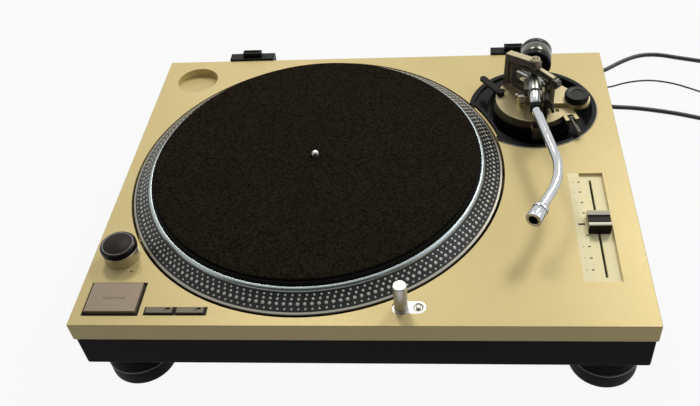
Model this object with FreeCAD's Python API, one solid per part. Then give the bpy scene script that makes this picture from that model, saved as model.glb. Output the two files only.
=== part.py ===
import FreeCAD
import Part
import math
import os

# A record turntable of the direct drive kind, built piece by piece at real size in millimetres.
# Modelling frame: origin at the middle of the top plate's top face, x right, y back, z up.

# Cabinet
PLATE_X, PLATE_Y = 226.5, 176.5
PLATE_DEEP, SHEET = 17.5, 4.0
PLATE_CORNER, PLATE_EDGE = 1.2, 0.5
TRAY_X, TRAY_Y = PLATE_X - 1.0, PLATE_Y - 1.5
TRAY_BOTTOM, TRAY_FLOOR = -52.0, -45.0
TRAY_CORNER, TRAY_EDGE = 2.0, 2.5
FLOOR_Z = -94.0
WALL = 4.0

# Platter and drive
PLATTER_X, PLATTER_Y = -48.0, 0.0
RIM_R = 166.2
WELL_R, WELL_WALL = RIM_R + 2.2, 2.0
PAN_Z = -23.0
SPINDLE_R, SHAFT_R = 3.55, 4.5
MAT_R, SLIP_R = RIM_R - 19.0, RIM_R - 21.7
DECK_Z, MAT_Z, SLIP_Z = 9.5, 15.0, 17.5

# Tonearm
WELL_X, WELL_Y = 151.5, 86.5
PIVOT_X, PIVOT_Y = 150.9, 85.7
TUBE_Z, TUBE_R = 34.0, 4.25
YOKE_TURN = -44.0
FRONT_HEADING, MIDDLE_HEADING, END_HEADING, REAR_HEADING = -3.0, 10.3, -28.0, -6.5
BASE_R, COLUMN_R, RING_R, PEDESTAL_R = 35.0, 21.7, 37.2, 26.0
WEIGHT_R = 15.0

# Controls
TOWER_X, TOWER_Y = -201.0, -105.0
LIGHT_X, DISH_X, PILL_Y = 33.6, 46.8, -158.2
FADER_X, FADER_Y = 193.3, -71.0

# Feet
FOOT_X, FOOT_Y = TRAY_X - 27.6, TRAY_Y - 36.5
FOOT_R = 28.5

# Clearances and fits
RUN = 0.05
SLIDE = 0.08
APART = 0.3
SEAT = 0.02

V = FreeCAD.Vector
UP = V(0, 0, 1)
NODES = {}

# Openings in the plate for the buttons and the pitch strip: left, right, front and back
START = (-218.0, -172.0, -167.0, -133.0)
SPEED = (-168.0, -117.5, -166.5, -158.0)
PITCH = (174.5, 204.5, -133.0, -8.5)

# Screws that hold the tray to the plate, and the outlets at the back
SCREW_X, SCREW_Y = TRAY_X - 11.5, TRAY_Y - 11.0
SCREWS = [(SCREW_X, SCREW_Y), (SCREW_X, -SCREW_Y), (-SCREW_X, SCREW_Y), (-SCREW_X - 2, -126.5),
          (60.0, SCREW_Y), (60.0, -SCREW_Y), (-110.0, SCREW_Y + 2), (-105.0, -SCREW_Y - 2)]
EXITS_X = [150.0, 165.0, 180.0]
EXIT_Z, EXIT_Y, CORD_START_Y = -38.0, PLATE_Y + 9.5, PLATE_Y + 1.5
INLET_X = -150.0

# Hinges of the dust cover
HINGE_X, HINGE_BACK = 138.5, 12.0
HINGE_PIN_Y, HINGE_PIN_Z = PLATE_Y + 7.5, -6.0
BACK = PLATE_Y + HINGE_BACK

# What stands on the arm base
LIFTER_X, LIFTER_Y = 139.5, 77.0
LIFT_IN, LIFT_OUT = 24.8, 27.2
DIAL_X, DIAL_Y, DIAL_GRIP = 191.6, 84.0, 11.3
LOCK_X, LOCK_Y = 120.6, 92.5
CUE = V(184.5, 60.6, 6.2)
CUE_TIP = V(190.2, 40.3, 5.0)
CUE_HALF = 6.3
REST_HEADING, REST_SIDE, REST_AHEAD = 3.0, 9.5, 36.5
CLIP_REACH, CLIP_HANGS = 13.0, -150.0

# Gimbal support, seen from the front along its width, and the gimbal inside it
YOKE_LEFT, YOKE_FOOT, YOKE_RIGHT = -32.6, -34.4, 21.8
WINDOW_LEFT, WINDOW_RIGHT, WINDOW_LOW = -28.4, 18.9, 16.5
GIMBAL_LEFT, GIMBAL_RIGHT = -24.5, 18.2
GIMBAL_IN_LEFT, GIMBAL_IN_RIGHT = -19.5, 15.0
BOSS_AT, BOSS_R = V(24.0, 0, 40.0), 4.7

# Tube, holder and the socket of the headshell
HUB_R, HUB_AHEAD, SLEEVE_R = 6.9, 20.0, 4.8
SHAFT_END = 55.0
COLLAR_AT, COLLAR_LONG = V(144.2, -84.2, TUBE_Z), 17.3
TUBE_IN_COLLAR, SOCKET_R = 9.0, 4.1


def box(x0, x1, y0, y1, z0, z1):
    return Part.makeBox(x1 - x0, y1 - y0, z1 - z0, V(x0, y0, z0))


def cyl(r, z0, z1, x=0.0, y=0.0):
    return Part.makeCylinder(r, z1 - z0, V(x, y, z0))


def rod(r, a, b):
    return Part.makeCylinder(r, (b - a).Length, a, b - a)


def ring(outer, inner, z0, z1, x=0.0, y=0.0):
    return cyl(outer, z0, z1, x, y).cut(cyl(inner, z0 - 1, z1 + 1, x, y))


def face_of(points):
    return Part.Face(Part.makePolygon(points + points[:1]))


def turned(outline, x=0.0, y=0.0):
    """A solid of revolution about the upright axis at x, y from (radius, height) points."""
    solid = face_of([V(x + r, y, z) for r, z in outline]).revolve(V(x, y, 0), UP, 360)
    if solid.Volume < 0:
        solid.reverse()
    return solid


def prism(points, z0, z1):
    return face_of([V(x, y, z0) for x, y in points]).extrude(V(0, 0, z1 - z0))


def pill(half_length, r, z0, z1, x, y):
    """A bar with round ends, long way along x."""
    run = half_length - r
    body = box(x - run, x + run, y - r, y + r, z0, z1)
    return joined(body, cyl(r, z0, z1, x - run, y), cyl(r, z0, z1, x + run, y))


def joined(first, *others):
    return first.fuse(list(others)).removeSplitter()


def less(first, *others):
    return first.cut(list(others))


def upright_edges(shape, r):
    edges = [e for e in shape.Edges if e.BoundBox.ZLength > 0.5 * shape.BoundBox.ZLength
             and e.BoundBox.XLength + e.BoundBox.YLength < 0.01]
    return shape.makeFillet(r, edges)


def level_edges(shape, z):
    """Edges lying in the level z."""
    found = []
    for edge in shape.Edges:
        b = edge.BoundBox
        if abs(b.ZMin - z) < 0.01 and abs(b.ZMax - z) < 0.01:
            found.append(edge)
    return found


def rounded_box(x0, x1, y0, y1, z0, z1, r, top=0.0):
    body = upright_edges(box(x0, x1, y0, y1, z0, z1), r)
    if top:
        body = body.makeChamfer(top, level_edges(body, z1))
    return body


def forward(heading):
    """The level direction of the arm at a heading, 0 pointing to the front, plus to the right."""
    a = math.radians(heading)
    return V(math.sin(a), -math.cos(a), 0)


def arm_point(heading, ahead, side=0.0, z=TUBE_Z):
    d = forward(heading)
    s = V(-d.y, d.x, 0)
    return V(PIVOT_X, PIVOT_Y, z) + d * ahead + s * side


def yoke_frame(shape):
    """From the frame of the gimbal support, x along its width, to the deck."""
    turn = FreeCAD.Rotation(UP, YOKE_TURN)
    return shape.transformed(FreeCAD.Placement(V(PIVOT_X, PIVOT_Y, 0), turn).toMatrix())


def along(shape, at, direction):
    """Moves a shape built round the upright axis to a point, its z along a direction."""
    turn = FreeCAD.Rotation(UP, direction)
    return shape.transformed(FreeCAD.Placement(at, turn).toMatrix())


def bent_path(points, radii):
    """Straight runs joined by tangent arcs, one radius for each inner point."""
    edges = []
    last = points[0]
    for before, corner, after, r in zip(points, points[1:], points[2:], radii):
        a = (before - corner).normalize()
        b = (after - corner).normalize()
        half = a.getAngle(b) / 2
        reach = r / math.tan(half)
        start, end = corner + a * reach, corner + b * reach
        middle_way = (a + b).normalize()
        crown = corner + middle_way * (r / math.sin(half) - r)
        if (start - last).Length > 1e-6:
            edges.append(Part.LineSegment(last, start).toShape())
        edges.append(Part.Arc(start, crown, end).toShape())
        last = end
    edges.append(Part.LineSegment(last, points[-1]).toShape())
    return Part.Wire(edges)


def pipe(path, r):
    first = path.OrderedEdges[0]
    start = first.valueAt(first.FirstParameter)
    direction = first.tangentAt(first.FirstParameter)
    return path.makePipeShell([Part.Wire(Part.makeCircle(r, start, direction))], True, False)


def put(node, *solids):
    NODES[node] = solids[0] if len(solids) == 1 else Part.makeCompound(list(solids))


def well_disc(r, z0, z1):
    return cyl(r, z0, z1, PLATTER_X, PLATTER_Y)


def adapter_cup():
    """The round recess at the back left for the adapter, its floor rising to the front."""
    x, y, r, back, front = -190.3, 142.8, 20.7, -9.5, -0.4
    body = cyl(r + 2.3, -12, -SHEET, x, y)
    slope = Part.makeBox(2 * r, 2 * r + 2, 30, V(-r, -r - 1, 0))
    tilt = FreeCAD.Rotation(V(1, 0, 0), -math.degrees(math.atan2(front - back, 2 * r)))
    middle = V(x, y, (back + front) / 2)
    slope = slope.transformed(FreeCAD.Placement(middle, tilt).toMatrix())
    return body, cyl(r, -11, 1, x, y).common(slope)


def top_plate():
    body = upright_edges(box(-PLATE_X, PLATE_X, -PLATE_Y, PLATE_Y, -PLATE_DEEP, 0), PLATE_CORNER)
    body = body.makeChamfer(PLATE_EDGE, level_edges(body, 0))
    inner_x, inner_y = PLATE_X - WALL, PLATE_Y - WALL
    body = less(body, box(-inner_x, inner_x, -inner_y, inner_y, -PLATE_DEEP - 1, -SHEET))
    posts = [cyl(5, TRAY_FLOOR + 5, -SHEET, x, y) for x, y in SCREWS]
    cup, hollow = adapter_cup()
    body = joined(body, cup, *posts)
    body = less(body, well_disc(WELL_R, -PLATE_DEEP, 1), cyl(58.3, -PLATE_DEEP, 1, WELL_X, WELL_Y), hollow)
    wall = well_disc(WELL_R + WELL_WALL, PAN_Z, 0).cut(well_disc(WELL_R, PAN_Z + 3, 1))
    wall = wall.cut(well_disc(62, PAN_Z - 1, 0))
    body = joined(body, wall)
    cuts = [cyl(60.8, -1.6, 1, WELL_X, WELL_Y), cyl(5.2, -SHEET - 1, 1, TOWER_X, TOWER_Y)]
    cuts += [box(x0, x1, y0, y1, -SHEET - 1, 1) for x0, x1, y0, y1 in (START, SPEED, PITCH)]
    cuts += [pill(13.0, 6.3, -1.2, 1, 40.3, PILL_Y)]
    cuts += [cyl(7.3, -SHEET - 1, 1, LIGHT_X, PILL_Y), cyl(5, -SHEET - 1, 1, DISH_X, PILL_Y)]
    cuts += [cyl(1.6, TRAY_FLOOR, -SHEET - 2, x, y) for x, y in SCREWS]
    put("top_plate", less(body, *cuts))


def base_cabinet():
    body = upright_edges(box(-TRAY_X, TRAY_X, -TRAY_Y, TRAY_Y, TRAY_BOTTOM, -PLATE_DEEP), TRAY_CORNER)
    body = body.makeFillet(TRAY_EDGE, level_edges(body, TRAY_BOTTOM))
    inner_x, inner_y = TRAY_X - 3.5, TRAY_Y - 3.5
    body = less(body, box(-inner_x, inner_x, -inner_y, inner_y, TRAY_FLOOR, 0))
    pads = [cyl(6, TRAY_FLOOR, TRAY_FLOOR + 5, x, y) for x, y in SCREWS]
    sockets = [cyl(9, TRAY_FLOOR, -33, x, y) for x, y in foot_places()]
    body = joined(body, *(pads + sockets))
    cuts = [cyl(2, TRAY_BOTTOM - 1, -38, x, y) for x, y in SCREWS]
    cuts += [cyl(3.8, TRAY_BOTTOM - 1, -46.5, x, y) for x, y in SCREWS]
    cuts += [cyl(4.1, TRAY_BOTTOM - 1, -32, x, y) for x, y in foot_places()]
    cuts += [rod(5, V(x, inner_y - 1, EXIT_Z), V(x, TRAY_Y + 1, EXIT_Z)) for x in EXITS_X]
    cuts += [box(INLET_X - 13, INLET_X + 13, inner_y - 1, TRAY_Y + 1, -43, -28)]
    put("base_cabinet", less(body, *cuts))


def foot_places():
    return [(-FOOT_X, -FOOT_Y), (FOOT_X, -FOOT_Y), (-FOOT_X, FOOT_Y), (FOOT_X, FOOT_Y)]


def base_screws():
    screws = []
    for x, y in SCREWS:
        head = cyl(3.5, -49.2, -46.5, x, y).cut(box(x - 3, x + 3, y - 0.5, y + 0.5, -50, -48.3))
        shank = joined(cyl(1.9, -46.5, TRAY_FLOOR + 5, x, y), cyl(1.58, -41, -30, x, y))
        screws.append(joined(head, shank))
    put("base_screws", *screws)


def motor_frame():
    outline = [(10, -41), (64, -41), (64, -25.5), (72, -25.5), (72, -23), (61.5, -23),
               (61.5, -38.5), (10, -38.5)]
    legs = [cyl(5, TRAY_FLOOR, -41, PLATTER_X + 52 * math.cos(a), PLATTER_Y + 52 * math.sin(a))
            for a in (math.radians(30 + 120 * k) for k in range(3))]
    put("motor_frame", joined(turned(outline, PLATTER_X, PLATTER_Y), *legs))


def stator():
    coils = []
    for k in range(9):
        a = math.radians(40 * k)
        x, y = PLATTER_X + 30 * math.cos(a), PLATTER_Y + 30 * math.sin(a)
        coils += [ring(8, 3, -36.9, -20, x, y), cyl(2.95, -36.9, -19, x, y)]
    board = ring(49, 15, -38.5, -36.9, PLATTER_X, PLATTER_Y)
    put("stator", board, *coils)


def spindle_bearing():
    outline = [(0, -41), (9.95, -41), (9.95, -38.5), (14, -38.5), (14, -36.5), (7.5, -36.5),
               (7.5, -12), (SHAFT_R + RUN, -12), (SHAFT_R + RUN, -38), (0, -38)]
    put("spindle_bearing", turned(outline, PLATTER_X, PLATTER_Y))


def platter():
    outline = [(SPINDLE_R + SEAT, -8), (14, -8), (14, 3), (49, 3), (49, -10), (60, -10), (60, 3),
               (158, 3), (158, -15), (RIM_R, -15), (RIM_R, 0.5), (164.3, 1.1), (151.2, 9.3),
               (150.6, 10.6), (149.6, 11.9), (148.4, 12.5), (147.5, 12.3), (147.5, DECK_Z),
               (SPINDLE_R + SEAT, DECK_Z)]
    body = turned(outline, PLATTER_X, PLATTER_Y)
    put("platter", less(body, *[cyl(12, 0, 20, PLATTER_X + s * 78, PLATTER_Y) for s in (-1, 1)]))
    shaft = turned([(0, -37.95), (SHAFT_R, -37.95), (SHAFT_R, -8), (SPINDLE_R, -8), (SPINDLE_R, 19.5),
                    (3.2, 21), (2.4, 22.3), (1.2, 23), (0, 23)], PLATTER_X, PLATTER_Y)
    put("spindle_shaft", shaft)
    put("rotor_magnet", ring(58, 50, -34, -10, PLATTER_X, PLATTER_Y))


def mats():
    mat = turned([(4, DECK_Z), (MAT_R, DECK_Z), (MAT_R, MAT_Z - 1), (MAT_R - 1, MAT_Z),
                  (52, MAT_Z), (52, MAT_Z - 0.5), (4, MAT_Z - 0.5)], PLATTER_X, PLATTER_Y)
    put("rubber_mat", mat)
    slip = turned([(4.2, MAT_Z), (SLIP_R - 0.6, MAT_Z), (SLIP_R, MAT_Z + 0.7), (SLIP_R, SLIP_Z - 0.8),
                   (SLIP_R - 0.8, SLIP_Z), (4.2, SLIP_Z)], PLATTER_X, PLATTER_Y)
    put("slipmat", slip)


def power_supply():
    board = box(-205, -115, 36, 124, -42.9, -41.3)
    legs = [cyl(3, TRAY_FLOOR, -42.9, x, y) for x in (-200, -120) for y in (41, 119)]
    core = box(-195, -150, 50, 90, -41.3, -25.5)
    winding = rounded_box(-188, -157, 43, 97, -40, -27, 3)
    parts = [cyl(6, -41.3, -26, -130, 50 + 17 * k) for k in range(4)]
    sink = box(-200, -196, 98, 122, -41.3, -27)
    put("power_supply", joined(board, joined(core, winding), sink, *(parts + legs)))


def switch_board():
    board = joined(box(-216, -170, -167, -136, -24, -22.4), box(-170, -118, -167, -157.5, -24, -22.4))
    tops = [cyl(3, -22.4, -18.6, -195, -150)]
    tops += [cyl(2.2, -22.4, -19.6, x, -162) for x in (-155.5, -130.7)]
    legs = [cyl(3, TRAY_FLOOR, -24, x, y) for x, y in ((-212, -140), (-174, -140), (-122, -163))]
    power = box(TOWER_X - 11, TOWER_X + 10, TOWER_Y - 11, TOWER_Y + 11, -34, -15)
    power = less(power, cyl(3.1, -31, -14, TOWER_X, TOWER_Y))
    post = cyl(4, TRAY_FLOOR, -34, TOWER_X, TOWER_Y)
    put("switch_board", joined(board, *(tops + legs)), joined(power, post))


def button_frames():
    x0, x1, y0, y1 = START
    outer = box(x0, x1, y0, y1, -8, -0.3)
    skirt = box(x0 - 1.5, x1 + 1.5, y0 - 1.5, y1 + 1.5, -6, -SHEET)
    hollow = box(x0 + 1.3, x1 - 1.3, y0 + 1.3, y1 - 1.3, -6.5, 0)
    guide = cyl(2.5 + SLIDE, -9, 0, (x0 + x1) / 2, (y0 + y1) / 2)
    legs = [box(x, x + 2, y, y + 2, -22.4, -8) for x in (x0 + 1, x1 - 3) for y in (y0 + 3, y1 - 3)]
    start = less(joined(outer, skirt, *legs), hollow, guide)
    x0, x1, y0, y1 = SPEED
    outer = box(x0, x1, y0, y1, -7, -0.3)
    skirt = box(x0 + 1, x1 + 1.5, y0 + 0.4, y1 + 1.5, -6, -SHEET)
    cells = [box(a, b, y0 + 1.0, y1 - 0.9, -5.5, 0) for a, b in ((-166.7, -144.3), (-141.9, -119.5))]
    guides = [cyl(1.5 + SLIDE, -8, 0, x, -162) for x in (-155.5, -130.7)]
    legs = [box(x, x + 2, -165, -163, -22.4, -7) for x in (-167, -144, -120)]
    speed = less(joined(outer, skirt, *legs), *(cells + guides))
    put("button_frames", start, speed)


def start_stop_button():
    x0, x1, y0, y1 = START
    cap = rounded_box(x0 + 2.3, x1 - 2.3, y0 + 2.3, y1 - 2.3, -3.7, 2.8, 0.6, 0.5)
    plunger = cyl(2.5, -16, -3.7, (x0 + x1) / 2, (y0 + y1) / 2)
    put("start_stop_button", joined(cap, plunger))


def speed_buttons():
    lamps = []
    for name, x0, x1 in (("speed_button_33", -166.4, -144.6), ("speed_button_45", -141.6, -119.8)):
        middle = (x0 + x1) / 2
        cap = rounded_box(x0, x1, -165.2, -159.2, -3.4, 1.8, 0.4, 0.35)
        plunger = cyl(1.5, -17, -3.4, middle, -162)
        window = box(x1 - 5.6, x1 - 2.4, -161.9, -160.3, -5, 3)
        put(name, less(joined(cap, plunger), window))
        lamps.append(box(x1 - 5.3, x1 - 2.7, -161.6, -160.6, -5.5, 0.1))
    put("speed_lamps", *lamps)


def strobe():
    body = cyl(14.5, 0, 11, TOWER_X, TOWER_Y)
    body = body.makeChamfer(0.5, level_edges(body, 11))
    stud = cyl(5, -14, 0, TOWER_X, TOWER_Y)
    nut = ring(9, 5 - SEAT, -7, -SHEET, TOWER_X, TOWER_Y)
    pocket = box(10.5, 16, -6, 6, 2.5, 8.5)
    pane = box(10.5, 12.6, -5.9, 5.9, 2.6, 8.4)
    turn = FreeCAD.Placement(V(TOWER_X, TOWER_Y, 0), FreeCAD.Rotation(UP, 34.5)).toMatrix()
    body = less(joined(body, stud, nut), pocket.transformed(turn), cyl(3 + RUN, -15, 12, TOWER_X, TOWER_Y))
    put("strobe_tower", body)
    put("strobe_window", pane.transformed(turn))
    knob = turned([(0, 11.3), (15, 11.3), (15, 14.9), (13.4, 16.5), (0, 16.5)], TOWER_X, TOWER_Y)
    put("power_knob", joined(knob, cyl(3, -30, 11.3, TOWER_X, TOWER_Y)))


def light_guide():
    plate = pill(12.8, 6.1, -1.2, 0, 40.3, PILL_Y)
    tube = cyl(7.2, -42, -1.2, LIGHT_X, PILL_Y)
    catch = cyl(4.5, -14, -1.2, DISH_X, PILL_Y)
    foot = box(LIGHT_X - 9, LIGHT_X + 9, PILL_Y - 7, PILL_Y + 7, TRAY_FLOOR, -42)
    body = joined(plate, tube, catch, foot)
    cuts = [cyl(5.4 + RUN, -42, 1, LIGHT_X, PILL_Y), cyl(1.9 + RUN, -12, 1, DISH_X, PILL_Y)]
    cuts += [turned([(0, -1), (3, -1), (4.65, 0.5), (0, 0.5)], DISH_X, PILL_Y)]
    put("light_guide", less(body, *cuts))
    lamp = turned([(0, -10), (5.4, -10), (5.4, 25.4), (4.8, 26), (0, 26)], LIGHT_X, PILL_Y)
    eye = rod(1.6, V(LIGHT_X - 6, PILL_Y + 1, 19), V(LIGHT_X - 3.4, PILL_Y + 1, 19))
    put("target_light", less(lamp, eye))
    put("light_button", turned([(0, -9), (1.9, -9), (1.9, 0.9), (1.4, 1.3), (0, 1.3)], DISH_X, PILL_Y))


def pitch_control():
    x0, x1, y0, y1 = PITCH
    strip = box(x0, 184, y0, y1, -SHEET, 0)
    channel = box(184, x1, y0, y1, -SHEET, -2.8)
    skirt = box(x0 - 2, x1 + 2, y0 - 2, y1 + 2, -6, -SHEET)
    slot = box(FADER_X - 1.1, FADER_X + 1.1, -126.6, -15, -7, 0)
    put("pitch_panel", less(joined(strip, channel, skirt), slot))
    case = box(186, 200.6, -130, -12, -18, -6)
    put("pitch_fader", less(case, box(188, 198.6, -128, -14, -16, -5)))
    knob = box(184.1, 202.5, FADER_Y - 8.75, FADER_Y + 8.75, -2.5, 8)
    knob = knob.makeChamfer(0.8, level_edges(knob, 8))
    grip = rod(11, V(183, FADER_Y, 16.8), V(204, FADER_Y, 16.8))
    stem = box(FADER_X - 0.8, FADER_X + 0.8, FADER_Y - 4, FADER_Y + 4, -12, -2.5)
    put("pitch_knob", joined(less(knob, grip), stem))


def pivot_cyl(r, z0, z1):
    return cyl(r, z0, z1, PIVOT_X, PIVOT_Y)


def arm_well():
    flange = ring(60.5, 55.9, -1.6, 0.35, WELL_X, WELL_Y)
    flange = less(flange, well_disc(168.7, -5, 5))
    body = cyl(58, -18, 0, WELL_X, WELL_Y)
    bowl = cyl(56, -1.5, 1, WELL_X, WELL_Y)
    hollow = cyl(56, -16, 1, WELL_X, WELL_Y).common(cyl(55, -16, 1, 163, 86))
    body = less(body, bowl.cut(well_disc(173.4, -20, 2)), hollow.cut(well_disc(173.4, -20, 2)))
    body = less(body, well_disc(171.2, -20, 2))
    pedestal = joined(pivot_cyl(PEDESTAL_R, -18, 3.5), pivot_cyl(31, -17, -12))
    body = joined(body, flange, pedestal)
    put("arm_well", less(body, pivot_cyl(COLUMN_R + SLIDE, -19, 5)))


def height_ring():
    body = less(pivot_cyl(RING_R, -12, 4), pivot_cyl(PEDESTAL_R + RUN, -13, 5))
    notches = []
    for k in range(36):
        a = math.radians(10 * k)
        x, y = PIVOT_X + RING_R * math.cos(a), PIVOT_Y + RING_R * math.sin(a)
        notches.append(cyl(0.7, 0.5, 3, x, y))
    put("height_ring", less(body, *notches))


def arm_base():
    disc = pivot_cyl(BASE_R, 4, 12)
    disc = disc.makeChamfer(0.6, level_edges(disc, 12))
    disc = less(disc, box(152, 200, 40, 76.5, 8, 13))
    column = pivot_cyl(COLUMN_R, -13, 4)
    wing = prism([(155, 76.5), (191, 76.5), (200, 88), (183.5, 100.6), (176.4, 107.9), (160, 112)], 8, 12)
    wing = joined(wing, cyl(12.8, 8, 12, DIAL_X, DIAL_Y))
    way, across = cue_ways()
    corners = [CUE + across * (i * CUE_HALF) + way * j for i, j in ((1, 4), (-1, 4), (-1, -14), (1, -14))]
    shelf = prism([(c.x, c.y) for c in corners], 4.3, 8)
    turn = FreeCAD.Rotation(UP, math.degrees(math.atan2(way.y, way.x)))
    slot = box(-3.5, 12, -2.8, 2.8, 3, 10)
    slot = slot.transformed(FreeCAD.Placement(V(CUE.x, CUE.y, 0), turn).toMatrix())
    bracket = box(-6, 6, -41, -30, 4.3, 8)
    block = box(-4.5, 4.5, -41, -38, -5, 4.3)
    arm = joined(bracket, block)
    turn = FreeCAD.Placement(V(PIVOT_X, PIVOT_Y, 0), FreeCAD.Rotation(UP, REST_HEADING)).toMatrix()
    lift_boss = cyl(4, 12, 21.5, LIFTER_X, LIFTER_Y)
    body = joined(disc, column, wing, shelf, lift_boss, arm.transformed(turn))
    cuts = [slot, cyl(2 + RUN, 5, 23, LIFTER_X, LIFTER_Y)]
    cuts += [box(171, 174.4, 68.8, 72.6, 5.5, 9), cyl(1.4, 8, 13, 124.6, 97.9)]
    cuts += [cyl(3 + RUN, 8, 13, LOCK_X, LOCK_Y), cyl(3 + RUN, 6, 13, DIAL_X, DIAL_Y)]
    cuts += [pivot_cyl(9, -14, 2)]
    cuts += [cue_axle(1 + RUN, 20)]
    put("arm_base", less(body, *cuts))


def cue_ways():
    """The level direction of the cue lever and the one along its axle."""
    way = V(CUE_TIP.x - CUE.x, CUE_TIP.y - CUE.y, 0).normalize()
    return way, V(-way.y, way.x, 0)


def cue_axle(r, length):
    way, across = cue_ways()
    return rod(r, CUE - across * (length / 2), CUE + across * (length / 2))


def base_controls():
    dial = turned([(0, 12.2), (DIAL_GRIP, 12.2), (DIAL_GRIP, 17.2), (DIAL_GRIP - 0.8, 18), (6.5, 18),
                   (6, 17.3), (0, 17.3)], DIAL_X, DIAL_Y)
    put("antiskate_dial", joined(dial, cyl(3, 7, 12.2, DIAL_X, DIAL_Y)))
    direction = V(-15.6, 23.0, 0)
    end = V(LOCK_X, LOCK_Y, 0) + direction
    bar = box(0, direction.Length, -3.2, 3.2, 12.2, 15)
    facing = math.degrees(math.atan2(direction.y, direction.x))
    turn = FreeCAD.Placement(V(LOCK_X, LOCK_Y, 0), FreeCAD.Rotation(UP, facing)).toMatrix()
    lever = joined(bar.transformed(turn), cyl(3.2, 12.2, 15, end.x, end.y), cyl(3.8, 12.2, 16, LOCK_X, LOCK_Y))
    put("arm_lock_lever", joined(lever, cyl(3, 8.5, 12.2, LOCK_X, LOCK_Y)))
    way, across = cue_ways()
    hub = rod(2.1, CUE - across * 2.5, CUE + across * 2.5)
    slope = (CUE_TIP - CUE).normalize()
    stick = rod(1.5, CUE, CUE_TIP - slope * 8)
    grip = rod(2.3, CUE_TIP - slope * 9, CUE_TIP)
    put("cue_lever", joined(hub, stick, grip, cue_axle(1.0, 2 * CUE_HALF)))


def lift_bar():
    piston = cyl(2, 8, 22, LIFTER_X, LIFTER_Y)
    head = cyl(3.2, 22, 24.4, LIFTER_X, LIFTER_Y)
    arc = less(pivot_cyl(LIFT_OUT, 24.4, 25.4), pivot_cyl(LIFT_IN, 24, 26))
    left, right = forward(-30), forward(5)
    origin = V(PIVOT_X, PIVOT_Y, 24)
    wedge = face_of([origin, origin + left * 40, origin + (left + right) * 40, origin + right * 40])
    arc = arc.common(wedge.extrude(V(0, 0, 2)))
    link = rod(1.2, V(LIFTER_X, LIFTER_Y, 23.6), arm_point(-29, (LIFT_IN + LIFT_OUT) / 2, 0, 23.6))
    put("lift_bar", joined(piston, head, link, arc))


def rest_axis():
    at = arm_point(FRONT_HEADING, REST_AHEAD, REST_SIDE, 38.6)
    return at, forward(FRONT_HEADING)


def arm_rest():
    turn = FreeCAD.Placement(V(PIVOT_X, PIVOT_Y, 0), FreeCAD.Rotation(UP, REST_HEADING)).toMatrix()
    foot = box(-5, 9, -40, -35.3, 8, 11).transformed(turn)
    axis_at, way = rest_axis()
    post = cyl(2.1, 8, 36, axis_at.x, axis_at.y)
    shelf = joined(box(-4.5, REST_SIDE, -2, 2, 24.5, 27.3), box(-4.5, -3.3, -2, 2, 27.3, 28.6))
    turn = FreeCAD.Placement(arm_point(FRONT_HEADING, REST_AHEAD, 0, 0),
                             FreeCAD.Rotation(UP, FRONT_HEADING)).toMatrix()
    neck = cyl(1.3, 35, 38.6, axis_at.x, axis_at.y)
    knuckle = rod(2.6, axis_at - way * 2.2, axis_at + way * 2.2)
    body = joined(foot, post, shelf.transformed(turn), neck, knuckle)
    put("arm_rest", less(body, rod(1.0 + RUN, axis_at - way * 6, axis_at + way * 6)))
    reach = FreeCAD.Rotation(way, CLIP_HANGS).multVec(UP) * CLIP_REACH
    parts = [rod(1.0, axis_at - way * 4.4, axis_at + way * 4.4)]
    for side in (-1, 1):
        near, far = axis_at + way * (side * 2.5), axis_at + way * (side * 4.4)
        middle = (near + far) / 2
        parts += [rod(2.6, near, far), rod(1.0, middle, middle + reach)]
    bar = rod(1.4, axis_at + reach - way * 4.4, axis_at + reach + way * 4.4)
    put("arm_rest_clip", joined(bar, *parts))


def yoke_plate(outline, n0, n1):
    """A flat plate of the gimbal support from (width, height) points, between two depths."""
    return face_of([V(u, n1, z) for u, z in outline]).extrude(V(0, n0 - n1, 0))


def yoke():
    left = yoke_plate([(YOKE_FOOT, 12), (YOKE_LEFT, 49.5), (-4.6, 54), (4.6, 54), (4.6, 12)], -4, 4)
    right = yoke_plate([(4, 12), (4, 47), (YOKE_RIGHT, 44.7), (YOKE_RIGHT, 12)], -0.4, 4)
    window = yoke_plate([(WINDOW_LEFT, WINDOW_LOW), (WINDOW_LEFT, 42.1), (-4, 47.4), (3, 47.4), (4.6, 44.2),
                         (WINDOW_RIGHT, 42.2), (WINDOW_RIGHT, WINDOW_LOW)], -5, 5)
    foot = box(-30, 20, -4, 4, 12, WINDOW_LOW)
    boss = rod(BOSS_R, BOSS_AT - V(0, 2.4, 0), BOSS_AT + V(0, 4, 0))
    frame = less(joined(left, right, boss), window)
    frame = less(joined(frame, foot, cyl(4.5, 50, 54.4)), cyl(1.5 + SEAT, 10, 56))
    head = less(cyl(4.25, 54.4, 57), box(-5, 5, -0.5, 0.5, 56, 58))
    screw = joined(head, cyl(1.5, 42, 54.4))
    pin = cyl(1.5, 12.5, 21)
    put("yoke", *[yoke_frame(s) for s in (frame, screw, pin)])


def inner_gimbal():
    outer = yoke_plate([(GIMBAL_LEFT, 18.5), (GIMBAL_LEFT, 42.2), (-12, 43.8), (4, 43.8), (GIMBAL_RIGHT, 41.8),
                        (GIMBAL_RIGHT, 18.5)], -3.5, 3.5)
    inside = yoke_plate([(GIMBAL_IN_LEFT, 22), (GIMBAL_IN_LEFT, 38.5), (-10, 41.9), (10, 41.9),
                         (GIMBAL_IN_RIGHT, 39), (GIMBAL_IN_RIGHT, 22)], -4, 4)
    pins = rod(1.2 + RUN, V(GIMBAL_LEFT - 1, 0, TUBE_Z), V(GIMBAL_RIGHT + 1, 0, TUBE_Z))
    put("inner_gimbal", yoke_frame(less(outer, inside, cyl(1.5 + RUN, 17, 47), pins)))


def tube_path():
    """The middle line of the arm tube, from inside the holder to the headshell collar."""
    way = forward(END_HEADING)
    return bent_path([arm_point(FRONT_HEADING, 22), arm_point(FRONT_HEADING, 43.8), COLLAR_AT - way * 43.1,
                      COLLAR_AT + way * TUBE_IN_COLLAR], [38.0, 74.0])


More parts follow.
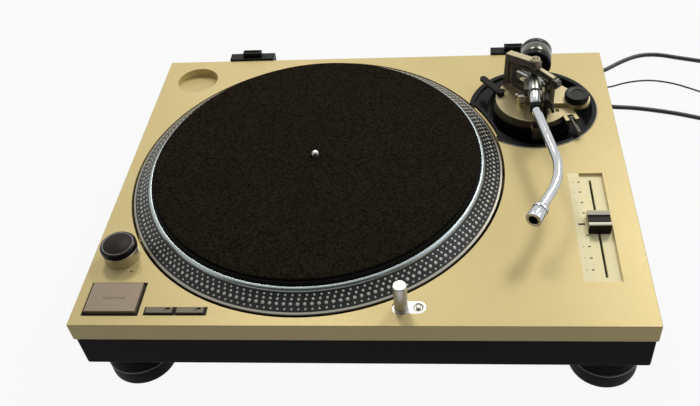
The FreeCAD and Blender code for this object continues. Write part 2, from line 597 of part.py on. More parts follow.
def tube_holder():
    way = forward(FRONT_HEADING)
    at = V(PIVOT_X, PIVOT_Y, TUBE_Z)
    hub = rod(HUB_R, at - way * 6, at + way * HUB_AHEAD)
    side = box(-9.6, 0, -22, -6, 29.7, 38.3)
    side = side.transformed(FreeCAD.Placement(V(PIVOT_X, PIVOT_Y, 0),
                                              FreeCAD.Rotation(UP, FRONT_HEADING)).toMatrix())
    cone = along(Part.makeCone(HUB_R, SLEEVE_R, 4), at + way * HUB_AHEAD, way)
    sleeve = rod(SLEEVE_R, at + way * 24, at + way * 39)
    rear = arm_point(REAR_HEADING, 0) - arm_point(REAR_HEADING, 1)
    shaft = rod(4, at, at + rear * SHAFT_END)
    u = FreeCAD.Rotation(UP, YOKE_TURN).multVec(V(1, 0, 0))
    cross = rod(3, at + u * (GIMBAL_IN_LEFT + APART), at + u * (GIMBAL_IN_RIGHT - APART))
    pins = rod(1.2, at + u * (GIMBAL_LEFT + 1), at + u * (GIMBAL_RIGHT - APART))
    body = joined(hub, side, cone, sleeve, shaft, cross, pins)
    body = less(body, rod(TUBE_R + SEAT, at + way * 21.9, at + way * 41))
    bend = tube_path().OrderedEdges[1]
    spread = [bend.FirstParameter + (bend.LastParameter - bend.FirstParameter) * k for k in (0.2, 0.5, 0.8)]
    band_path = Part.Wire([Part.Arc(*[bend.valueAt(t) for t in spread]).toShape()])
    band = pipe(band_path, 5.3).cut(pipe(band_path, TUBE_R + SEAT))
    put("tube_holder", body, band)


def arm_tube():
    path = tube_path()
    outer = pipe(path, TUBE_R)
    way = forward(END_HEADING)
    end = COLLAR_AT + way * TUBE_IN_COLLAR
    put("arm_tube", less(outer, rod(TUBE_R - 0.9, end - way * 14, end + way)))


def headshell_collar():
    """The locking collar, wide over the end of the tube, then the socket of the headshell."""
    wide, step, end = TUBE_R + RUN, TUBE_IN_COLLAR + APART, COLLAR_LONG
    outline = [(wide, 0), (5.4, 0), (6.75, 2.3), (6.75, 5.4), (6.4, 5.7), (6.4, 6.3), (6.75, 6.6),
               (6.75, end - 0.5), (6.3, end), (SOCKET_R, end), (SOCKET_R, step), (wide, step)]
    put("headshell_collar", along(turned(outline), COLLAR_AT, forward(END_HEADING)))


def weight_set():
    at = V(PIVOT_X, PIVOT_Y, TUBE_Z)
    rear = forward(REAR_HEADING) * -1

    def on_shaft(outline):
        return along(turned(outline), at, rear)

    fit = 4.0 + RUN
    bush = on_shaft([(fit, 29.5), (8, 29.5), (8, 44.5), (fit, 44.5)])
    put("counterweight_bush", bush)
    weight = on_shaft([(8 + RUN, 28.2), (14.6, 28.2), (WEIGHT_R, 28.7), (WEIGHT_R, 40.6), (14.4, 41),
                       (14.4, 41.8), (WEIGHT_R, 42.2), (WEIGHT_R, 46), (14, 47), (10, 47), (10, 45.2),
                       (8 + RUN, 45.2)])
    put("counterweight", weight)
    dial = on_shaft([(fit + APART, 21.5), (13.6, 21.5), (WEIGHT_R, 22.8), (WEIGHT_R, 28.1),
                     (fit + APART, 28.1)])
    put("stylus_pressure_dial", dial)


def hinges():
    holders = []
    for side, name in ((-1, "hinge_leaf_left"), (1, "hinge_leaf_right")):
        x = side * HINGE_X
        block = box(x - 23.5, x + 23.5, PLATE_Y, BACK, -30, 2)
        edges = [e for e in level_edges(block, 2) if e.BoundBox.YMin > BACK - 1]
        block = block.makeChamfer(1.5, edges)
        pocket = box(x - 9.8, x + 9.8, HINGE_PIN_Y - 4.7, BACK + 1, -11, 3)
        pin = rod(1.5 + RUN, V(x - 16, HINGE_PIN_Y, HINGE_PIN_Z), V(x + 16, HINGE_PIN_Y, HINGE_PIN_Z))
        screws = [rod(2.6, V(x + s * 19, BACK - 1, -26), V(x + s * 19, BACK + 1, -26)) for s in (-1, 1)]
        holders.append(less(block, pocket, pin, *screws))
        leaf = box(x - 9.5, x + 9.5, HINGE_PIN_Y - 4, HINGE_PIN_Y + 3.6, HINGE_PIN_Z, 6.5)
        leaf = leaf.makeFillet(1.2, [e for e in level_edges(leaf, 6.5) if e.BoundBox.XLength > 5])
        eye = rod(3.6, V(x - 9.5, HINGE_PIN_Y, HINGE_PIN_Z), V(x + 9.5, HINGE_PIN_Y, HINGE_PIN_Z))
        axle = rod(1.5, V(x - 15.8, HINGE_PIN_Y, HINGE_PIN_Z), V(x + 15.8, HINGE_PIN_Y, HINGE_PIN_Z))
        slot = box(x - 7.5, x + 7.5, HINGE_PIN_Y - 1.4, HINGE_PIN_Y + 1, -1.5, 7)
        put(name, joined(less(leaf, slot), eye, axle))
    put("hinge_holders", *holders)


def rear_connectors():
    pieces = []
    for x, bore in zip(EXITS_X, (2.5, 1.0, 2.5)):
        body = joined(rod(4.98, V(x, TRAY_Y - 4.5, EXIT_Z), V(x, TRAY_Y, EXIT_Z)),
                      rod(6.5, V(x, TRAY_Y, EXIT_Z), V(x, TRAY_Y + 2.5, EXIT_Z)),
                      rod(bore + 1.6, V(x, TRAY_Y + 2, EXIT_Z), V(x, EXIT_Y, EXIT_Z)))
        pieces.append(less(body, rod(bore + SEAT, V(x, CORD_START_Y, EXIT_Z), V(x, EXIT_Y + 1, EXIT_Z))))
    inlet = joined(box(INLET_X - 12.9, INLET_X + 12.9, TRAY_Y - 17, TRAY_Y + 1, -42.9, -28.1),
                   box(INLET_X - 15, INLET_X + 15, TRAY_Y, TRAY_Y + 1.5, -44, -27))
    inlet = less(inlet, box(INLET_X - 8, INLET_X + 8, TRAY_Y - 13, TRAY_Y + 2, -39.5, -31.5))
    pins = [rod(1.2, V(INLET_X + s * 4.3, TRAY_Y - 14, -35.5), V(INLET_X + s * 4.3, TRAY_Y - 3, -35.5))
            for s in (-1, 1)]
    put("rear_connectors", joined(inlet, *pins), *pieces)


def feet():
    names = ("foot_front_left", "foot_front_right", "foot_rear_left", "foot_rear_right")
    for name, (x, y) in zip(names, foot_places()):
        outline = [(0, FLOOR_Z), (FOOT_R - 1, FLOOR_Z), (FOOT_R, FLOOR_Z + 1), (FOOT_R, -79), (28.7, -79),
                   (28.7, -78), (27.5, -78), (28, -77), (28, -61), (27, -59), (24, -54.5), (14, -54.5),
                   (14, TRAY_BOTTOM), (4, TRAY_BOTTOM), (4, -34), (0, -34)]
        put(name, turned(outline, x, y))


# Cords: the middle lines as seen in the picture on the floor, then to the coils beside it
LEAD_R, GROUND_R = 2.5, 1.0
UPPER_ROUTE = [(150, 29, -38), (164, 51, -83), (192, 70, -91.5), (224, 80, -91.5),
               (252, 84, -91.5), (266, 95, -91.5), (281, 106, -91.5), (300, 116, -91.5),
               (321, 117, -91.5), (344, 109, -91.5), (369, 101, -91.5), (390, 95, -91.5),
               (410, 90, -91.5)]
GROUND_ROUTE = [(165, 21, -38), (177, 40, -80), (203, 57, -93), (230, 57, -93),
                (256, 54, -93), (272, 62, -93), (294, 67, -93), (312, 66, -93), (330, 60, -93),
                (345, 51, -93), (358, 42, -93), (371, 36, -93), (384, 34, -93)]
LOWER_ROUTE = [(180, 26, -38), (193, 42, -84), (222, 28, -91.5), (250, 16, -91.5),
               (275, 14, -91.5), (298, 9, -91.5), (323, 2, -91.5), (346, -7, -91.5),
               (366, -14, -91.5), (386, -20, -91.5)]


def free_stretch(name, x, route, r):
    points = [V(x, CORD_START_Y, EXIT_Z)] + [V(side, EXIT_Y + behind, z) for side, behind, z in route]
    radii = []
    for before, corner, after in zip(points, points[1:], points[2:]):
        a, b = before - corner, after - corner
        half = a.getAngle(b) / 2
        radii.append(0.45 * min(a.Length, b.Length) * math.tan(half))
    path = bent_path(points, radii)
    put(name, pipe(path, r))
    solid = NODES[name]
    print(name, "length %.0f" % path.Length, "least radius %.1f" % min(radii),
          "volume share %.4f" % (solid.Volume / (math.pi * r * r * path.Length)))
    return points[-1], (points[-1] - points[-2]).normalize()


def coil(name, at, way, r, pitch, outer, layer_arcs, side, tail, drop):
    """A flat coil in layers of half turns, climbing one pitch wherever its spiral reverses.

    Its end runs out straight and comes down by drop between the tail's first two distances."""
    edges = [Part.LineSegment(at, at + way * (2 * r)).toShape()]
    at = at + way * (2 * r)
    radius, step = outer, -pitch / 2
    for layer, count in enumerate(layer_arcs):
        climbs = [0.0] * count + ([pitch] if layer < len(layer_arcs) - 1 else [])
        for climb in climbs:
            across = V(-way.y, way.x, 0) * side
            end = at + across * (2 * radius) + UP * climb
            crown = (at + end) / 2 + way * ((end - at).Length / 2)
            edges.append(Part.Arc(at, crown, end).toShape())
            at, way = end, way * -1
            if climb:
                step = -step
            radius += step
    low = V(0, 0, -drop)
    end = at + way * tail[2] + low
    down = [at, at + way * tail[0], at + way * tail[1] + low, end]
    turn = math.atan(drop / (tail[1] - tail[0]))
    radius = 0.45 * min(tail[0], tail[2] - tail[1]) / math.tan(turn / 2)
    path = Part.Wire(edges + bent_path(down, [radius, radius]).Edges)
    put(name, pipe(path, r))
    print(name, "length %.0f" % path.Length, "volume share %.4f" %
          (NODES[name].Volume / (math.pi * r * r * path.Length)))
    return end, way


def cords():
    plugs = []
    for name, x, route, side in (("phono_lead_upper", EXITS_X[0], UPPER_ROUTE, 1),
                                 ("phono_lead_lower", EXITS_X[2], LOWER_ROUTE, -1)):
        at, way = free_stretch(name, x, route, LEAD_R)
        end, way = coil(name.replace("lead", "coil"), at, way, LEAD_R, 5.5, 33, (5, 4), side, (16, 32, 40), 3.5)
        body = turned([(0, 0), (3, 0), (3.4, 8), (4.5, 10), (4.5, 33), (4, 35), (1.6, 35), (1.6, 44.5),
                       (1.1, 45.5), (0, 45.5)])
        plugs.append(along(body, end, way))
    put("phono_plugs", *plugs)
    at, way = free_stretch("ground_wire", EXITS_X[1], GROUND_ROUTE, GROUND_R)
    end, way = coil("ground_coil", at, way, GROUND_R, 2.5, 14.75, (6, 5, 5, 5), 1, (6, 24, 30), 6.7)
    lug = joined(cyl(1.8, 0, 8), less(box(-3.6, 3.6, -0.5, 0.5, 7, 19), rod(2.1, V(0, -1, 15), V(0, 1, 15)),
                                      box(-2.1, 2.1, -1, 1, 15, 20)))
    put("ground_lug", along(lug, end, way))


def main():
    for make in (top_plate, base_cabinet, base_screws, motor_frame, stator, spindle_bearing, platter,
                 mats, power_supply, switch_board, button_frames, start_stop_button, speed_buttons,
                 strobe, light_guide, pitch_control, arm_well, height_ring, arm_base, base_controls,
                 lift_bar, arm_rest, yoke, inner_gimbal, tube_holder, arm_tube, headshell_collar,
                 weight_set, hinges, rear_connectors, feet, cords):
        make()
    os.makedirs("parts", exist_ok=True)
    for name, shape in NODES.items():
        shape = shape.copy()
        shape.translate(V(0, -HINGE_BACK / 2, -FLOOR_Z))
        if not shape.isValid() or min(s.Volume for s in shape.Solids) <= 0:
            print("PROBLEM", name)
        shape.exportStep("parts/%s.step" % name)
    print(len(NODES), "nodes")


main()
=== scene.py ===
"""A direct drive record turntable, dressed for looks on the fixed frame of its built parts."""
from __future__ import annotations

import logging
import math
from dataclasses import dataclass, field
from enum import Enum

import bmesh
import bpy
from mathutils import Matrix, Vector, noise


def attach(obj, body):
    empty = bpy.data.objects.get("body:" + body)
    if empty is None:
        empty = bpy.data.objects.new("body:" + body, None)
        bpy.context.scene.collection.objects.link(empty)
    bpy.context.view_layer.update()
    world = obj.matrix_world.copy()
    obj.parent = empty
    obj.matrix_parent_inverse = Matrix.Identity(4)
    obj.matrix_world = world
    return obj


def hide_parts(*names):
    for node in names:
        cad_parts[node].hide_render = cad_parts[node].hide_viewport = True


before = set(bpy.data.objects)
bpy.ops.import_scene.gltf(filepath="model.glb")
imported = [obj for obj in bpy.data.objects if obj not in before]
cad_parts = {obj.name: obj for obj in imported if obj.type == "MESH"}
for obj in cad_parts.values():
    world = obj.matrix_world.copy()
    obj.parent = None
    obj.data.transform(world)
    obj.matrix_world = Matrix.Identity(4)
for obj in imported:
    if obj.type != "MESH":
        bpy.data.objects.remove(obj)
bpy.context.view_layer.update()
LOG = logging.getLogger("turntable")
MM = 0.001
PLATTER_AT = (-48.0, 0.0)
PIVOT = (150.9, 85.7)
TUBE_Z = 34.0
YOKE_TURN = -44.0
PLATTER_CENTRE = (-0.048, -0.006, 0.0)
OUTLET_Y, OUTLET_Z = 186.0, -38.0
Point = tuple[float, float, float]
Pair = tuple[float, float]
Colour = tuple[float, float, float]


def deck(x: float, y: float, z: float) -> Vector:
    """A point given in millimetres from the top plate's middle, in the row frame in metres."""
    return Vector((x * MM, (y - 6.0) * MM, (z + 94.0) * MM))


def heading(degrees: float) -> Vector:
    """The level direction at a heading, 0 pointing to the front and plus to the right."""
    return Vector((math.sin(math.radians(degrees)), -math.cos(math.radians(degrees)), 0.0))


def upright(x: float, y: float, z: float = 0.0, turn: float = 0.0) -> Matrix:
    """A place on the deck, turned about the upright axis by degrees."""
    return Matrix.Translation((x, y, z)) @ Matrix.Rotation(math.radians(turn), 4, "Z")


def facing(at: Vector, way: Vector) -> Matrix:
    """A place whose own z runs along a direction."""
    return Matrix.Translation(at) @ Vector((0, 0, 1)).rotation_difference(way).to_matrix().to_4x4()


def on_arm(degrees: float, ahead: float = 0.0) -> Matrix:
    """A place on the arm's axis line at a heading, its own z running ahead."""
    way = heading(degrees)
    return facing(Vector((*PIVOT, TUBE_Z)) + way * ahead, way)


class Grain(Enum):
    """How a surface's fine pattern runs."""

    SPECKLE = "speckle"
    ALONG_X = "along_x"
    ALONG_Y = "along_y"
    RINGS = "rings"
    SMOOTH = "smooth"


@dataclass(frozen=True)
class Finish:
    """A surface finish and the sizes of its pattern.

    Sizes of the pattern are in millimetres, its centre in metres of the row frame.
    """

    name: str
    colour: Colour
    second: Colour
    roughness: float
    metallic: float = 0.0
    grain: Grain = Grain.SPECKLE
    size: float = 1.0
    contrast: float = 0.5
    spread: float = 0.1
    relief: float = 0.02
    coat: float = 0.0
    sheen: float = 0.0
    specular: float = 0.5
    worn: float = 0.0
    centre: Point = (0.0, 0.0, 0.0)
    axis: Point = (0.0, 0.0, 1.0)

    def material(self) -> bpy.types.Material:
        """Gives the finish's material, made once.

        Returns:
            The material with its node tree.
        """
        name = self.name + "_finish"
        found = bpy.data.materials.get(name)
        if found:
            return found
        made = bpy.data.materials.new(name)
        made.use_nodes = True
        tree = made.node_tree
        shader = tree.nodes["Principled BSDF"]
        shader.inputs["Metallic"].default_value = self.metallic
        shader.inputs["Coat Weight"].default_value = self.coat
        shader.inputs["Coat Roughness"].default_value = 0.08
        shader.inputs["Sheen Weight"].default_value = self.sheen
        shader.inputs["Specular IOR Level"].default_value = self.specular
        pattern = self.pattern(tree)
        ramp = tree.nodes.new("ShaderNodeMix")
        ramp.data_type = "RGBA"
        ramp.inputs[6].default_value = (*self.colour, 1.0)
        ramp.inputs[7].default_value = (*self.second, 1.0)
        tree.links.new(self.limits(tree, pattern, 0.0, self.contrast * 2), ramp.inputs[0])
        colour = ramp.outputs[2]
        if self.worn:
            colour = self.wear(tree, colour)
        tree.links.new(colour, shader.inputs["Base Color"])
        low = max(0.02, self.roughness - self.spread)
        high = min(1.0, self.roughness + self.spread)
        tree.links.new(self.limits(tree, pattern, low, high), shader.inputs["Roughness"])
        bump = tree.nodes.new("ShaderNodeBump")
        bump.inputs["Distance"].default_value = self.relief * MM
        bump.inputs["Strength"].default_value = 1.0
        tree.links.new(pattern, bump.inputs["Height"])
        tree.links.new(bump.outputs[0], shader.inputs["Normal"])
        return made

    @staticmethod
    def limits(tree: bpy.types.NodeTree, value: bpy.types.NodeSocket, low: float,
               high: float) -> bpy.types.NodeSocket:
        """Maps a pattern from 0.25 to 0.75 onto low to high.

        Args:
            tree: The node tree to add to.
            value: The pattern.
            low: What the pattern's dark becomes.
            high: What its light becomes.

        Returns:
            The mapped value, held between its ends.
        """
        node = tree.nodes.new("ShaderNodeMapRange")
        node.inputs[1].default_value = 0.25
        node.inputs[2].default_value = 0.75
        node.inputs[3].default_value = low
        node.inputs[4].default_value = high
        tree.links.new(value, node.inputs[0])
        return node.outputs[0]

    def wear(self, tree: bpy.types.NodeTree, colour: bpy.types.NodeSocket) -> bpy.types.NodeSocket:
        """Shades a surface in broad soft patches, as handling and age do.

        Args:
            tree: The node tree to add to.
            colour: The colour so far.

        Returns:
            The colour with the patches in it.
        """
        place = tree.nodes.new("ShaderNodeTexCoord")
        patches = tree.nodes.new("ShaderNodeTexNoise")
        patches.inputs["Scale"].default_value = 14.0
        patches.inputs["Detail"].default_value = 2.0
        tree.links.new(place.outputs["Object"], patches.inputs["Vector"])
        mixed = tree.nodes.new("ShaderNodeMix")
        mixed.data_type = "RGBA"
        mixed.blend_type = "MULTIPLY"
        mixed.inputs[7].default_value = (0.80, 0.79, 0.76, 1.0)
        tree.links.new(self.limits(tree, patches.outputs[0], 0.0, self.worn), mixed.inputs[0])
        tree.links.new(colour, mixed.inputs[6])
        return mixed.outputs[2]

    def pattern(self, tree: bpy.types.NodeTree) -> bpy.types.NodeSocket:
        """Lays the grain's noise in the piece's own coordinates.

        Args:
            tree: The node tree to add to.

        Returns:
            The noise's value.
        """
        place = tree.nodes.new("ShaderNodeTexCoord")
        moved = tree.nodes.new("ShaderNodeVectorMath")
        moved.operation = "SUBTRACT"
        moved.inputs[1].default_value = self.centre
        tree.links.new(place.outputs["Object"], moved.inputs[0])
        source = moved.outputs[0]
        stretch = {Grain.ALONG_X: (0.02, 1.0, 1.0), Grain.ALONG_Y: (1.0, 0.02, 1.0)}
        if self.grain is Grain.RINGS:
            source = self.ring_place(tree, source)
        elif self.grain in stretch:
            turn = tree.nodes.new("ShaderNodeVectorMath")
            turn.operation = "MULTIPLY"
            turn.inputs[1].default_value = stretch[self.grain]
            tree.links.new(source, turn.inputs[0])
            source = turn.outputs[0]
        grain = tree.nodes.new("ShaderNodeTexNoise")
        grain.inputs["Scale"].default_value = 1.0 / (self.size * MM)
        grain.inputs["Detail"].default_value = 0.0 if self.grain is Grain.SMOOTH else 3.0
        tree.links.new(source, grain.inputs["Vector"])
        return grain.outputs[0]

    def ring_place(self, tree: bpy.types.NodeTree, source: bpy.types.NodeSocket) -> bpy.types.NodeSocket:
        """Turns a place into its distance from the axis and along it, as a lathe leaves its marks.

        Args:
            tree: The node tree to add to.
            source: The place counted from the axis.

        Returns:
            Distance from the axis and along it, as a vector.
        """
        axial = tree.nodes.new("ShaderNodeVectorMath")
        axial.operation = "DOT_PRODUCT"
        axial.inputs[1].default_value = self.axis
        tree.links.new(source, axial.inputs[0])
        shadow = tree.nodes.new("ShaderNodeVectorMath")
        shadow.operation = "SCALE"
        shadow.inputs[0].default_value = self.axis
        tree.links.new(axial.outputs["Value"], shadow.inputs["Scale"])
        flat = tree.nodes.new("ShaderNodeVectorMath")
        flat.operation = "SUBTRACT"
        tree.links.new(source, flat.inputs[0])
        tree.links.new(shadow.outputs[0], flat.inputs[1])
        polar = tree.nodes.new("ShaderNodeVectorMath")
        polar.operation = "LENGTH"
        tree.links.new(flat.outputs[0], polar.inputs[0])
        join = tree.nodes.new("ShaderNodeCombineXYZ")
        tree.links.new(polar.outputs["Value"], join.inputs[0])
        tree.links.new(axial.outputs["Value"], join.inputs[2])
        return join.outputs[0]


class Piece:
    """One finished piece, gathered as a mesh in millimetres from the top plate's middle."""

    def __init__(self, name: str, body: str, *nodes: str) -> None:
        """Starts an empty piece that rides on a body and stands for CAD nodes."""
        self.name, self.body, self.nodes = name, body, nodes
        self.mesh = bmesh.new()
        self.finishes: list[Finish] = []

    def coat(self, finish: Finish) -> int:
        """The material slot of a finish on this piece."""
        if finish not in self.finishes:
            self.finishes.append(finish)
        return self.finishes.index(finish)

    def lathe(self, outline: list[Pair], finish: Finish, place: Matrix, steps: int = 96,
              bands: dict[int, Finish] | None = None, closed: bool = False) -> None:
        """Turns an outline of radius and height about a place's own z.

        Args:
            outline: The points, outside to the right when going upwards.
            finish: The finish of the surface.
            place: Where the axis stands.
            steps: The number of facets round.
            bands: Another finish for single runs of the outline, by number.
            closed: Whether the last point joins the first.
        """
        coats = {k: self.coat(f) for k, f in (bands or {}).items()}
        plain = self.coat(finish)
        rings = []
        for r, z in outline:
            if r < 1e-6:
                rings.append([self.mesh.verts.new(place @ Vector((0, 0, z)))] * steps)
                continue
            turns = (2 * math.pi * k / steps for k in range(steps))
            rings.append([self.mesh.verts.new(place @ Vector((r * math.cos(a), r * math.sin(a), z)))
                          for a in turns])
        runs = list(zip(rings, rings[1:])) + ([(rings[-1], rings[0])] if closed else [])
        for number, (low, high) in enumerate(runs):
            for k in range(steps):
                corners = [low[k], low[(k + 1) % steps], high[(k + 1) % steps], high[k]]
                corners = list(dict.fromkeys(corners))
                if len(corners) > 2:
                    self.mesh.faces.new(corners).material_index = coats.get(number, plain)

    def sweep(self, points: list[Vector], radius: float, finish: Finish, steps: int = 24) -> None:
        """Runs a round section along points, with flat ends.

        Args:
            points: The middle line.
            radius: The section's radius.
            finish: The finish of the surface.
            steps: The number of facets round.
        """
        index = self.coat(finish)
        side = Vector((0, 0, 1))
        rings = []
        for k, point in enumerate(points):
            way = (points[min(k + 1, len(points) - 1)] - points[max(k - 1, 0)]).normalized()
            across = way.cross(side)
            if across.length < 1e-3:
                across = way.orthogonal()
            across.normalize()
            side = across.cross(way).normalized()
            turns = (2 * math.pi * j / steps for j in range(steps))
            rings.append([self.mesh.verts.new(point + across * (radius * math.cos(a))
                                              + side * (radius * math.sin(a))) for a in turns])
        for low, high in zip(rings, rings[1:]):
            for j in range(steps):
                nxt = (j + 1) % steps
                self.mesh.faces.new([low[j], low[nxt], high[nxt], high[j]]).material_index = index
        for ring, turn in ((rings[0], -1), (rings[-1], 1)):
            self.mesh.faces.new(ring[::turn]).material_index = index

    def plate(self, outline: list[Pair], low: float, high: float, finish: Finish, place: Matrix,
              edge: float = 0.3, segments: int = 2) -> None:
        """Raises an outline into a plate with eased edges.

        Args:
            outline: The corners, turning to the left.
            low: Its lower height.
            high: Its upper height.
            finish: The finish of the surface.
            place: Where it stands.
            edge: The radius of its eased edges, 0 for none.
            segments: The steps of each eased edge.
        """
        index = self.coat(finish)
        own = bmesh.new()
        base = own.faces.new([own.verts.new((x, y, low)) for x, y in outline])
        raised = bmesh.ops.extrude_face_region(own, geom=[base])["geom"]
        verts = [v for v in raised if isinstance(v, bmesh.types.BMVert)]
        bmesh.ops.translate(own, vec=(0, 0, high - low), verts=verts)
        bmesh.ops.recalc_face_normals(own, faces=own.faces)
        if edge:
            sharp = [e for e in own.edges if e.calc_face_angle(0.0) > math.radians(25)]
            bmesh.ops.bevel(own, geom=sharp, offset=edge, segments=segments, affect="EDGES",
                            profile=0.6, clamp_overlap=True)
        for face in own.faces:
            face.material_index = index
        self.merge(own, place)

    def merge(self, own: bmesh.types.BMesh, place: Matrix) -> None:
        """Adds another gathered mesh at a place."""
        own.transform(place)
        spare = bpy.data.meshes.new("spare")
        own.to_mesh(spare)
        own.free()
        self.mesh.from_mesh(spare)
        bpy.data.meshes.remove(spare)

    def done(self, angle: float = 32.0) -> bpy.types.Object:
        """Makes the finished piece in the row frame.

        Args:
            angle: Edges sharper than this in degrees stay sharp.

        Returns:
            The piece, riding on its body.
        """
        for vert in self.mesh.verts:
            vert.co = deck(*vert.co)
        bmesh.ops.remove_doubles(self.mesh, verts=self.mesh.verts, dist=1e-7)
        bmesh.ops.recalc_face_normals(self.mesh, faces=self.mesh.faces)
        data = bpy.data.meshes.new(self.name)
        self.mesh.to_mesh(data)
        self.mesh.free()
        made = bpy.data.objects.new(self.name, data)
        bpy.context.collection.objects.link(made)
        for finish in self.finishes:
            data.materials.append(finish.material())
        bpy.ops.object.select_all(action="DESELECT")
        made.select_set(True)
        bpy.context.view_layer.objects.active = made
        bpy.ops.object.shade_smooth_by_angle(angle=math.radians(angle))
        made.select_set(False)
        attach(made, self.body)
        if self.nodes:
            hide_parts(*self.nodes)
        LOG.info("piece %s with %d faces on %s", self.name, len(data.polygons), self.body)
        return made


def box_outline(x0: float, x1: float, y0: float, y1: float) -> list[Pair]:
    """The four corners of a rectangle, turning left."""
    return [(x0, y0), (x1, y0), (x1, y1), (x0, y1)]


BLACK_CORD = Finish("black_cord", (0.012, 0.012, 0.013), (0.03, 0.03, 0.032), 0.42, size=3.0, relief=0.01)


@dataclass
class Cord:
    """A free cord with its put-away coil, as one smooth curve.

    Route points are in millimetres from the top plate's middle, as the parts' source has them.
    """

    name: str
    exit_x: float
    radius: float
    route: list[Point]
    nodes: tuple[str, ...]
    end_nodes: tuple[str, ...]
    far_end: str
    coil_radius: float
    coil_pitch: float
    layers: tuple[int, ...]
    side: int
    tail: Point
    drop: float
    length: float

    def coil_points(self, at: Vector, way: Vector) -> list[Vector]:
        """Follows the coil's half turns from where the free stretch ends.

        Args:
            at: The coil's start.
            way: The level direction in which the cord arrives.

        Returns:
            The control points of the turns and of the tail.
        """
        points: list[Vector] = []
        at = at + way * (2 * self.radius)
        size, step = self.coil_radius, -self.coil_pitch / 2
        for layer, count in enumerate(self.layers):
            climbs = [0.0] * count + ([self.coil_pitch] if layer < len(self.layers) - 1 else [])
            for climb in climbs:
                across = Vector((-way.y, way.x, 0)) * self.side
                middle = at + across * size
                for k in range(8):
                    turn = math.pi * (k + 0.5) / 8
                    reach = size / math.cos(math.pi / 16)
                    offset = across * (-math.cos(turn) * reach) + way * (math.sin(turn) * reach)
                    lift = Vector((0, 0, climb * (1 - math.cos(turn)) / 2))
                    points.append(middle + offset + lift)
                at = at + across * (2 * size) + Vector((0, 0, climb))
                way = -way
                if climb:
                    step = -step
                size += step
        low = Vector((0, 0, -self.drop))
        points += [at, at + way * self.tail[0], at + way * self.tail[1] + low, at + way * self.tail[2] + low]
        return points

    def build(self) -> bpy.types.Object:
        """Returns:
            The curve.
        """
        start = [Vector((self.exit_x, OUTLET_Y + behind, OUTLET_Z)) for behind in (-8.0, 10.0)]
        route = start + [Vector(p) for p in self.route]
        way = (route[-1] - route[-2]).normalized()
        points = route + self.coil_points(route[-1], way)
        data = bpy.data.curves.new(self.name, "CURVE")
        data.dimensions = "3D"
        spline = data.splines.new("NURBS")
        spline.points.add(len(points) - 1)
        for slot, point in zip(spline.points, points):
            slot.co = (*deck(*point), 1.0)
        spline.order_u = 3
        spline.use_endpoint_u = True
        spline.resolution_u = 6
        data.bevel_depth = self.radius * MM
        data.bevel_resolution = 4
        data.use_fill_caps = True
        made = bpy.data.objects.new(self.name, data)
        bpy.context.collection.objects.link(made)
        data.materials.append(BLACK_CORD.material())
        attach(made, "cabinet")
        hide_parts(*self.nodes)
        LOG.info("cord %s with %d points", self.name, len(points))
        return made


@dataclass
class Cords:
    """The two phono leads and the ground wire behind and beside the cabinet."""

    upper: list[Point] = field(default_factory=lambda: [
        (150, 215, -38), (164, 237, -83), (192, 256, -91.5), (224, 266, -91.5), (252, 270, -91.5),
        (266, 281, -91.5), (281, 292, -91.5), (300, 302, -91.5), (321, 303, -91.5), (344, 295, -91.5),
        (369, 287, -91.5), (390, 281, -91.5), (410, 276, -91.5)])
    ground: list[Point] = field(default_factory=lambda: [
        (165, 207, -38), (177, 226, -80), (203, 243, -93), (230, 243, -93), (256, 240, -93),
        (272, 248, -93), (294, 253, -93), (312, 252, -93), (330, 246, -93), (345, 237, -93),
        (358, 228, -93), (371, 222, -93), (384, 220, -93)])
    lower: list[Point] = field(default_factory=lambda: [
        (180, 212, -38), (193, 228, -84), (222, 214, -91.5), (250, 202, -91.5), (275, 200, -91.5),
        (298, 195, -91.5), (323, 188, -91.5), (346, 179, -91.5), (366, 172, -91.5), (386, 166, -91.5)])

    def build(self) -> None:
        """Makes the three cords."""
        tail = (16.0, 32.0, 40.0)
        Cord("lead_upper", 150, 2.5, self.upper, ("phono_lead_upper", "phono_coil_upper"),
             ("phono_plugs",), "plug", 33, 5.5, (5, 4), 1, tail, 3.5, 1210).build()
        Cord("lead_lower", 180, 2.5, self.lower, ("phono_lead_lower", "phono_coil_lower"),
             ("phono_plugs",), "plug", 33, 5.5, (5, 4), -1, tail, 3.5, 1140).build()
        Cord("wire_ground", 165, 1.0, self.ground, ("ground_wire", "ground_coil"), ("ground_lug",),
             "connector", 14.75, 2.5, (6, 5, 5, 5), 1, (6.0, 24.0, 30.0), 6.7, 1155).build()


